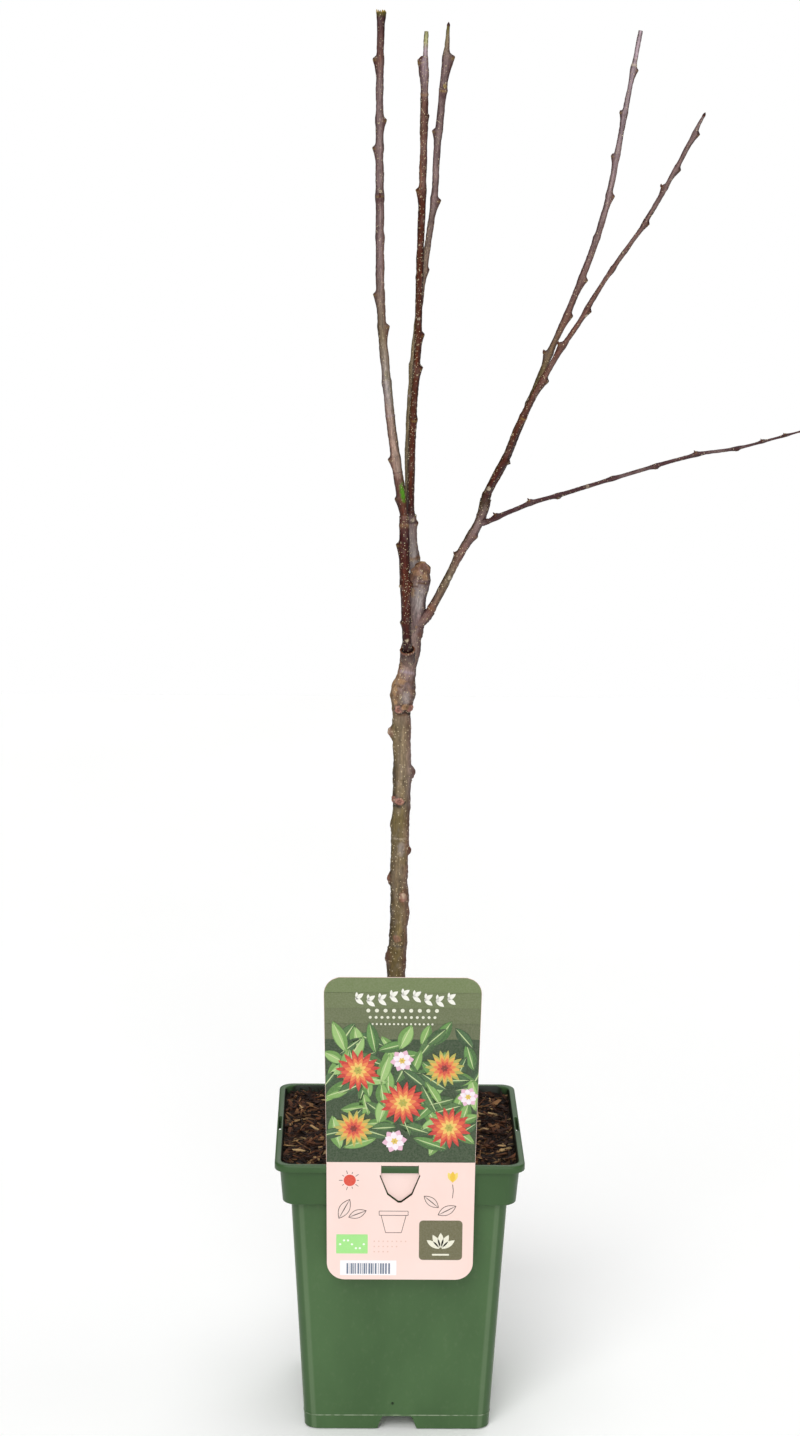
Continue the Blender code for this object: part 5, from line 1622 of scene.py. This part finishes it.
    def keep_inside(self, mesh: Mesh) -> None:
        """Press what leans through the pot's wall or stands too high back inside."""
        places = np.empty(len(mesh.vertices) * 3)
        mesh.vertices.foreach_get("co", places)
        places = places.reshape(-1, 3) / MM
        half = self.pot.half(self.top) - self.pot.wall - 0.5
        corner = self.pot.corner - self.pot.wall
        inner = half - corner
        flat = np.clip(places[:, :2], -half, half)
        over = np.maximum(np.abs(flat) - inner, 0)
        reach = np.hypot(over[:, 0], over[:, 1])
        pull = np.where(reach > corner, corner / np.maximum(reach, 1e-9), 1.0)[:, None]
        places[:, :2] = np.where(over > 0, np.sign(flat) * (inner + over * pull), flat)
        places[:, 2] = np.minimum(places[:, 2], self.top + 3.6)
        mesh.vertices.foreach_set("co", (places * MM).ravel())
        mesh.update()


PALER = {
    "#33552A": "#4A7239", "#3F6A30": "#5F9145", "#56843B": "#82AE5A", "#2A4A26": "#41683A",
    "#6C9A4A": "#9CC374",
}
MANY = ((15, 1.0), (13, 0.8), (11, 0.6), (9, 0.4), (6, 0.2))
FEW = ((6, 1.0), (6, 0.82), (6, 0.3))
ROSETTES = (
    (MANY, ("#C9352A", "#E0573A", "#EC8A48", "#F4C965", "#B9B04A")),
    (MANY, ("#B9B254", "#E6B24E", "#E97F45", "#D84A36", "#8E2B22")),
    (FEW, ("#EDBFD3", "#FBEFF6", "#E8C65A")),
)


def polar(x: float, z: float, degrees: float, across: float, up: float | None = None) -> tuple[float, float]:
    """A place some way from another at an angle."""
    way = math.radians(degrees)
    return x + across * math.cos(way), z + (across if up is None else up) * math.sin(way)


@dataclass
class HangingCard:
    """The plastic card that hangs on the lip, with a generic print of its own.

    A printed shape has its place across and up in millimetres, its sRGB hex colour, and as its layer how many
    inks lie under it.
    """

    pot: NurseryPot
    thickness: float = 0.7
    bottom: float = 134.0
    top: float = 377.5
    widths: Pairs = ((134.0, 111.0), (225.0, 112.6), (377.5, 118.6))
    corner: float = 13.5
    lean: float = 9.0
    lean_curve: float = 1.3
    centre: float = 0.6
    gap: float = 0.3
    hole: Pairs = ((14.3, 226.0), (14.3, 219.0), (15.5, 217.8), (9.5, 202.4), (1.2, 196.0))
    flap: Pairs = ((13.6, 219.0), (14.8, 217.1), (8.8, 202.75), (1.0, 196.7))
    layer: float = 0.03
    margin: float = 0.2
    stock: CardStock = CardStock("polypropylene sheet, calendered and die cut", 0.34, 1.49)
    ink: Ink = Ink("offset ink under clear varnish", 0.3, 1.5)
    prints: list[tuple[list[Vector], str, int]] = field(default_factory=list)

    def half(self, height: float) -> float:
        """The card's half width at a height, with its round corners."""
        into = max(self.bottom + self.corner - height, height - self.top + self.corner, 0.0)
        return between(self.widths, height) / 2 - self.corner + math.sqrt(max(self.corner**2 - into**2, 0.0))

    def front(self, height: float) -> float:
        """Where the card's front face is at a height."""
        rise = max(height - self.pot.height, 0.0) / (self.top - self.pot.height)
        return -self.pot.lip - self.gap - self.thickness - self.lean * rise**self.lean_curve

    def outline(self) -> list[tuple[float, float]]:
        """The card's edge, across and up, anticlockwise from the lower right."""
        curve = [self.corner * (1 - math.cos(a)) for a in np.linspace(0, QUARTER, 11)]
        heights = [self.bottom + step for step in curve] + [self.pot.height]
        heights += [self.top - step for step in reversed(curve)]
        edge = mirrored([(self.half(min(max(z, self.bottom), self.top)), z) for z in heights])
        return [(x + self.centre, z) for x, z in edge]

    def sheet(self) -> BMesh:
        """The card with its hole, cut across so that it can lean in a soft curve."""
        curve = bpy.data.curves.new("card", "CURVE")
        curve.dimensions = "2D"
        curve.fill_mode = "BOTH"
        curve.extrude = self.thickness * MM / 2
        for outline in (self.outline(), mirrored([(-x, z) for x, z in self.hole])):
            spline = curve.splines.new("POLY")
            spline.points.add(len(outline) - 1)
            spline.use_cyclic_u = True
            for point, (x, z) in zip(spline.points, outline):
                point.co = (x * MM, z * MM, 0, 1)
        bm = bmesh.new()
        bm.from_mesh(evaluated(linked("card", curve)))
        bmesh.ops.remove_doubles(bm, verts=bm.verts, dist=1e-7)
        bmesh.ops.rotate(bm, matrix=Matrix.Rotation(QUARTER, 3, "X"), verts=bm.verts)
        self.cut_across(bm, self.pot.height, self.top)
        for vertex in bm.verts:
            vertex.co.y += (self.front(vertex.co.z / MM) + self.thickness / 2) * MM
        bmesh.ops.recalc_face_normals(bm, faces=bm.faces)
        return bm

    def cut_across(self, bm: BMesh, low: float, high: float) -> None:
        """Cut a mesh across at even heights between two."""
        step = 5.0
        height = low + step
        while height < high:
            everything = bm.verts[:] + bm.edges[:] + bm.faces[:]
            bmesh.ops.bisect_plane(bm, geom=everything, plane_co=(0, 0, height * MM), plane_no=UP)
            height += step

    def strap(self, bm: BMesh) -> None:
        """Add the flap: it folds back over the lip and hangs down through the slot."""
        middle = self.front(0) + self.thickness / 2
        over = self.pot.height + self.gap + self.thickness / 2
        inside = -(self.pot.slot_front + self.pot.slot_back) / 2
        fold = rows("0 1.2; 0 0.8; 0.1 0.35; 0.45 0.05; 0.9 0")
        path = [(middle + past, over + rise, self.flap[0][0]) for past, rise in fold]
        fold = rows("0.8 0; 0.3 0.1; 0.05 0.4; 0 1")
        path += [(inside - short, over - drop, self.flap[0][0]) for short, drop in fold]
        path += [(inside, z, wide) for wide, z in self.flap]
        rings = []
        for before, (y, z, wide), after in zip(path[:1] + path, path, path[1:] + path[-1:]):
            way = Vector((0, after[0] - before[0], after[1] - before[1])).normalized()
            normal = way.cross(Vector((1, 0, 0))) * self.thickness / 2
            left, right = Vector((-wide, y, z)), Vector((wide, y, z))
            rings.append([left - normal, right - normal, right + normal, left + normal])
        bmesh.ops.recalc_face_normals(bm, faces=tube(bm, rings))

    def shape(self, points: Pairs, code: str, layer: int) -> None:
        """Print a shape with an outline, kept on the card."""
        kept = []
        for x, z in points:
            z = min(max(z, self.bottom + self.margin), self.top - self.margin)
            limit = self.half(z) - self.margin
            kept.append(Vector((min(max(x, self.centre - limit), self.centre + limit), 0, z)))
        if max(p.x for p in kept) - min(p.x for p in kept) > 0.3:
            self.prints.append((kept, code, layer))

    def disc(self, x: float, z: float, radius: float, code: str, layer: int) -> None:
        """Print a round."""
        self.shape([polar(x, z, degrees, radius) for degrees in range(0, 360, 10)], code, layer)

    def leaf(self, x: float, z: float, length: float, width: float, lean: float, *ink: object) -> None:
        """Print a pointed leaf about its middle, turned by the degrees of its lean."""
        edge = [(part * length / 2, (1 - part**2) * width / 2) for part in np.linspace(-1, 1, 11)]
        edge += [(a, -b) for a, b in edge[-2:0:-1]]
        along, up = polar(0, 0, lean, 1)
        self.shape([(x + a * along - b * up, z + a * up + b * along) for a, b in edge], *ink)

    def bar(self, x: float, z: float, width: float, height: float, round_mm: float, *ink: object) -> None:
        """Print a bar with round corners from its lower left corner."""
        left, right = x + round_mm, x + width - round_mm
        low, high = z + round_mm, z + height - round_mm
        corners = ((left, low, 180), (right, low, 270), (right, high, 0), (left, high, 90))
        turns = np.linspace(0, 90, 5)
        self.shape([polar(a, b, first + turn, round_mm) for a, b, first in corners for turn in turns], *ink)

    def zone(self, low: float, high: float, code: str) -> None:
        """Print a band over the card's whole width."""
        heights = np.linspace(low, high, max(int((high - low) / 1.5), 3))
        right = [(self.centre + self.half(z) - self.margin, z) for z in heights]
        left = [(self.centre - self.half(z) + self.margin, z) for z in reversed(heights)]
        self.shape(right + left, code, 1)

    def stroke(self, points: Pairs, width: float, layer: int) -> None:
        """Print a thin brown line through points."""
        for (x, z), (u, w) in zip(points, points[1:]):
            away = math.hypot(u - x, w - z)
            a, b = (w - z) / away * width / 2, (u - x) / away * width / 2
            self.shape(((x + a, z - b), (u + a, w - b), (u - a, w + b), (x - a, z + b)), "#3B2A24", layer)

    def veined(
        self, x: float, z: float, length: float, width: float, lean: float, code: str, layer: int,
    ) -> None:
        """Print a leaf with a paler half and a midrib."""
        self.leaf(x, z, length, width, lean, code, layer)
        aside = polar(x, z, lean + 90, width * 0.12)
        self.leaf(*aside, length * 0.9, width * 0.6, lean, PALER[code], layer + 1)
        self.leaf(x, z, length * 0.96, width * 0.09, lean, "#C4D69A", layer + 2)

    def rosette(self, x: float, z: float, radius: float, kind: int) -> None:
        """Print a flower of pointed petals, ring on ring."""
        petals, codes = ROSETTES[kind]
        for ring, ((count, share), code) in enumerate(zip(petals, codes)):
            reach = radius * share
            for index in range(count):
                degrees = 360 * (index + ring * 0.5) / count + 8
                middle = polar(x, z, degrees, reach * 0.54)
                self.leaf(*middle, reach * 0.92, reach * 3.6 / count, degrees, code, 18 + ring)

    def design(self) -> None:
        """Lay out the print: an olive head with sprigs, a quilt of rosettes and leaves, line motifs below."""
        brown, cream = "#3B2A24", "#EDEBD6"
        for index, code in enumerate(("#5F6845", "#656F49", "#6B774D", "#6F7F4F")):
            self.zone(328.0 + index * 12.4, min(340.6 + index * 12.4, self.top - self.margin), code)
        for index in range(-4, 5):
            x, z = index * 8.6 + self.centre, 361.0 + 2.4 * math.cos(index * 1.1)
            for lean, size in ((38, 8.0), (-38, 8.0), (90, 5.0)):
                self.leaf(*polar(x, z, lean, 2.4, 3.0), size, size * 0.42, lean, "#F7F6EC", 2)
        for row, (count, gap, size) in enumerate(((9, 6.4, 1.5), (12, 4.4, 1.1), (15, 3.2, 0.8))):
            for index in range(count):
                x = self.centre + (index - (count - 1) / 2) * gap
                self.disc(x, 351.0 - row * 5.4, size, "#E9EAD6", 2)
        self.zone(228.6, 328.0, "#2C4423")
        rng = np.random.default_rng(71)
        for index in range(96):
            place = [rng.uniform(*ends) for ends in ((-56, 57), (243, 333), (18, 28), (8, 12), (0, 360))]
            self.veined(*place, [*PALER][int(rng.integers(len(PALER)))], 2 + 3 * (index % 5))
        for x, z, radius, kind in rows("-33 303 17 0; 32 305 15 1; 1 277 17.5 0; -36 256 15 1; 36 257 17 0; "
                                       "0 311 9 2; -5 246 9.5 2; 50 282 8 2"):
            self.rosette(x + self.centre, z, radius, int(kind))
        self.disc(-38.0, 214.0, 4.6, "#DE4630", 1)
        for index in range(10):
            ends = (5.4, 8.2) if index % 2 else (5.4, 7.0)
            self.stroke([polar(-38, 214, index * 36, reach) for reach in ends], 0.45, 1)
        for lean, code, layer in ((62, "#F5D96A", 1), (90, "#F0C432", 2), (118, "#F5D96A", 1)):
            self.leaf(*polar(40, 214, lean, 3.2, 3), 9.0, 4.0, lean, code, layer)
        self.stroke(((40, 211), (40.6, 206), (40.0, 200)), 0.5, 2)
        for x, z, size, lean in rows("-42 191 18 62; -32 187 15 22; 24 197 15 140; 36 190 16 28"):
            self.leaf(x, z, size, size * 0.46, lean, brown, 1)
            self.leaf(x, z, size - 1.6, size * 0.46 - 1.0, lean, "#F6DCD4", 2)
            self.leaf(x, z, size, 0.7, lean, brown, 3)
        self.stroke(((-14, 186), (-10.5, 172), (1.5, 172), (5, 186), (-14, 186)), 0.45, 1)
        self.stroke(((-15.5, 186), (-15.5, 189.4), (6.5, 189.4), (6.5, 186), (-15.5, 186)), 0.45, 1)
        self.bar(15.0, 150.0, 33.0, 32.0, 3.0, "#686544", 1)
        for lean in (35, 62, 90, 118, 145):
            self.leaf(*polar(31.5, 158, lean, 7, 8), 12.0, 4.4, lean, cream, 2)
        self.bar(25.0, 153.6, 13.0, 1.4, 0.5, cream, 2)
        self.bar(-48.0, 155.0, 24.0, 15.5, 0.6, "#A4E88A", 1)
        for index in range(7):
            self.disc(-45.0 + index * 3.0, 162.5 + 3.6 * math.sin(index * 1.05), 0.85, "#F6FFF0", 2)
        for row in range(3):
            for index in range(8 - row * 2):
                self.disc(-19.0 + index * 3.4, 165.0 - row * 4.2, 0.6, "#E9C3B4", 1)
        self.bar(-45.0, 137.5, 43.0, 12.0, 0.4, "#FDF9FB", 1)
        x = -40.0
        while x < -8.0:
            width = float(rng.choice((0.45, 0.8, 1.3)))
            self.bar(x, 138.6, width, 8.6, 0.1, "#66758C", 2)
            x += width + float(rng.choice((0.5, 0.8, 1.1)))

    def lay_prints(self, bm: BMesh) -> None:
        """Add the printed shapes, each a hair above what it covers."""
        ink = bm.loops.layers.float_color.new("ink")
        for outline, code, layer in self.prints:
            sheet = bmesh.new()
            sheet.faces.new([sheet.verts.new(point * MM) for point in outline])
            heights = [point.z for point in outline]
            if max(heights) > self.pot.height:
                start = max(min(heights), self.pot.height)
                self.cut_across(sheet, start - start % 5.0, max(heights))
            bmesh.ops.triangulate(sheet, faces=sheet.faces)
            placed = {}
            for vertex in sheet.verts:
                y = self.front(vertex.co.z / MM) - self.layer * layer
                placed[vertex] = bm.verts.new((vertex.co.x, y * MM, vertex.co.z))
            for face in sheet.faces:
                corners = [placed[vertex] for vertex in face.verts]
                made = bm.faces.new(corners[::-1] if face.normal.y > 0 else corners)
                made.material_index = 1
                for loop in made.loops:
                    loop[ink] = [part * 0.87 for part in srgb(code)[:3]] + [1.0]
            sheet.free()

    def build(self) -> None:
        """Make the card in its solid's place."""
        self.design()
        bm = self.sheet()
        self.strap(bm)
        self.lay_prints(bm)
        mesh = bpy.data.meshes.new("hanging_card")
        for finish in (self.stock, self.ink):
            mesh.materials.append(finish.build())
        bm.to_mesh(mesh)
        bm.free()
        soften(mesh, 30.0)
        shown("hanging_card", mesh, "label", "label")


def main() -> None:
    """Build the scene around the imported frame."""
    logging.basicConfig(level=logging.INFO)
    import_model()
    pot = NurseryPot()
    for part in (pot, PottingMix(pot), HangingCard(pot), AppleTree()):
        part.build()
    Studio("floor paint, rolled matt", 0.9).set_out()
    Viewpoint().build()


if __name__ == "__main__":
    main()
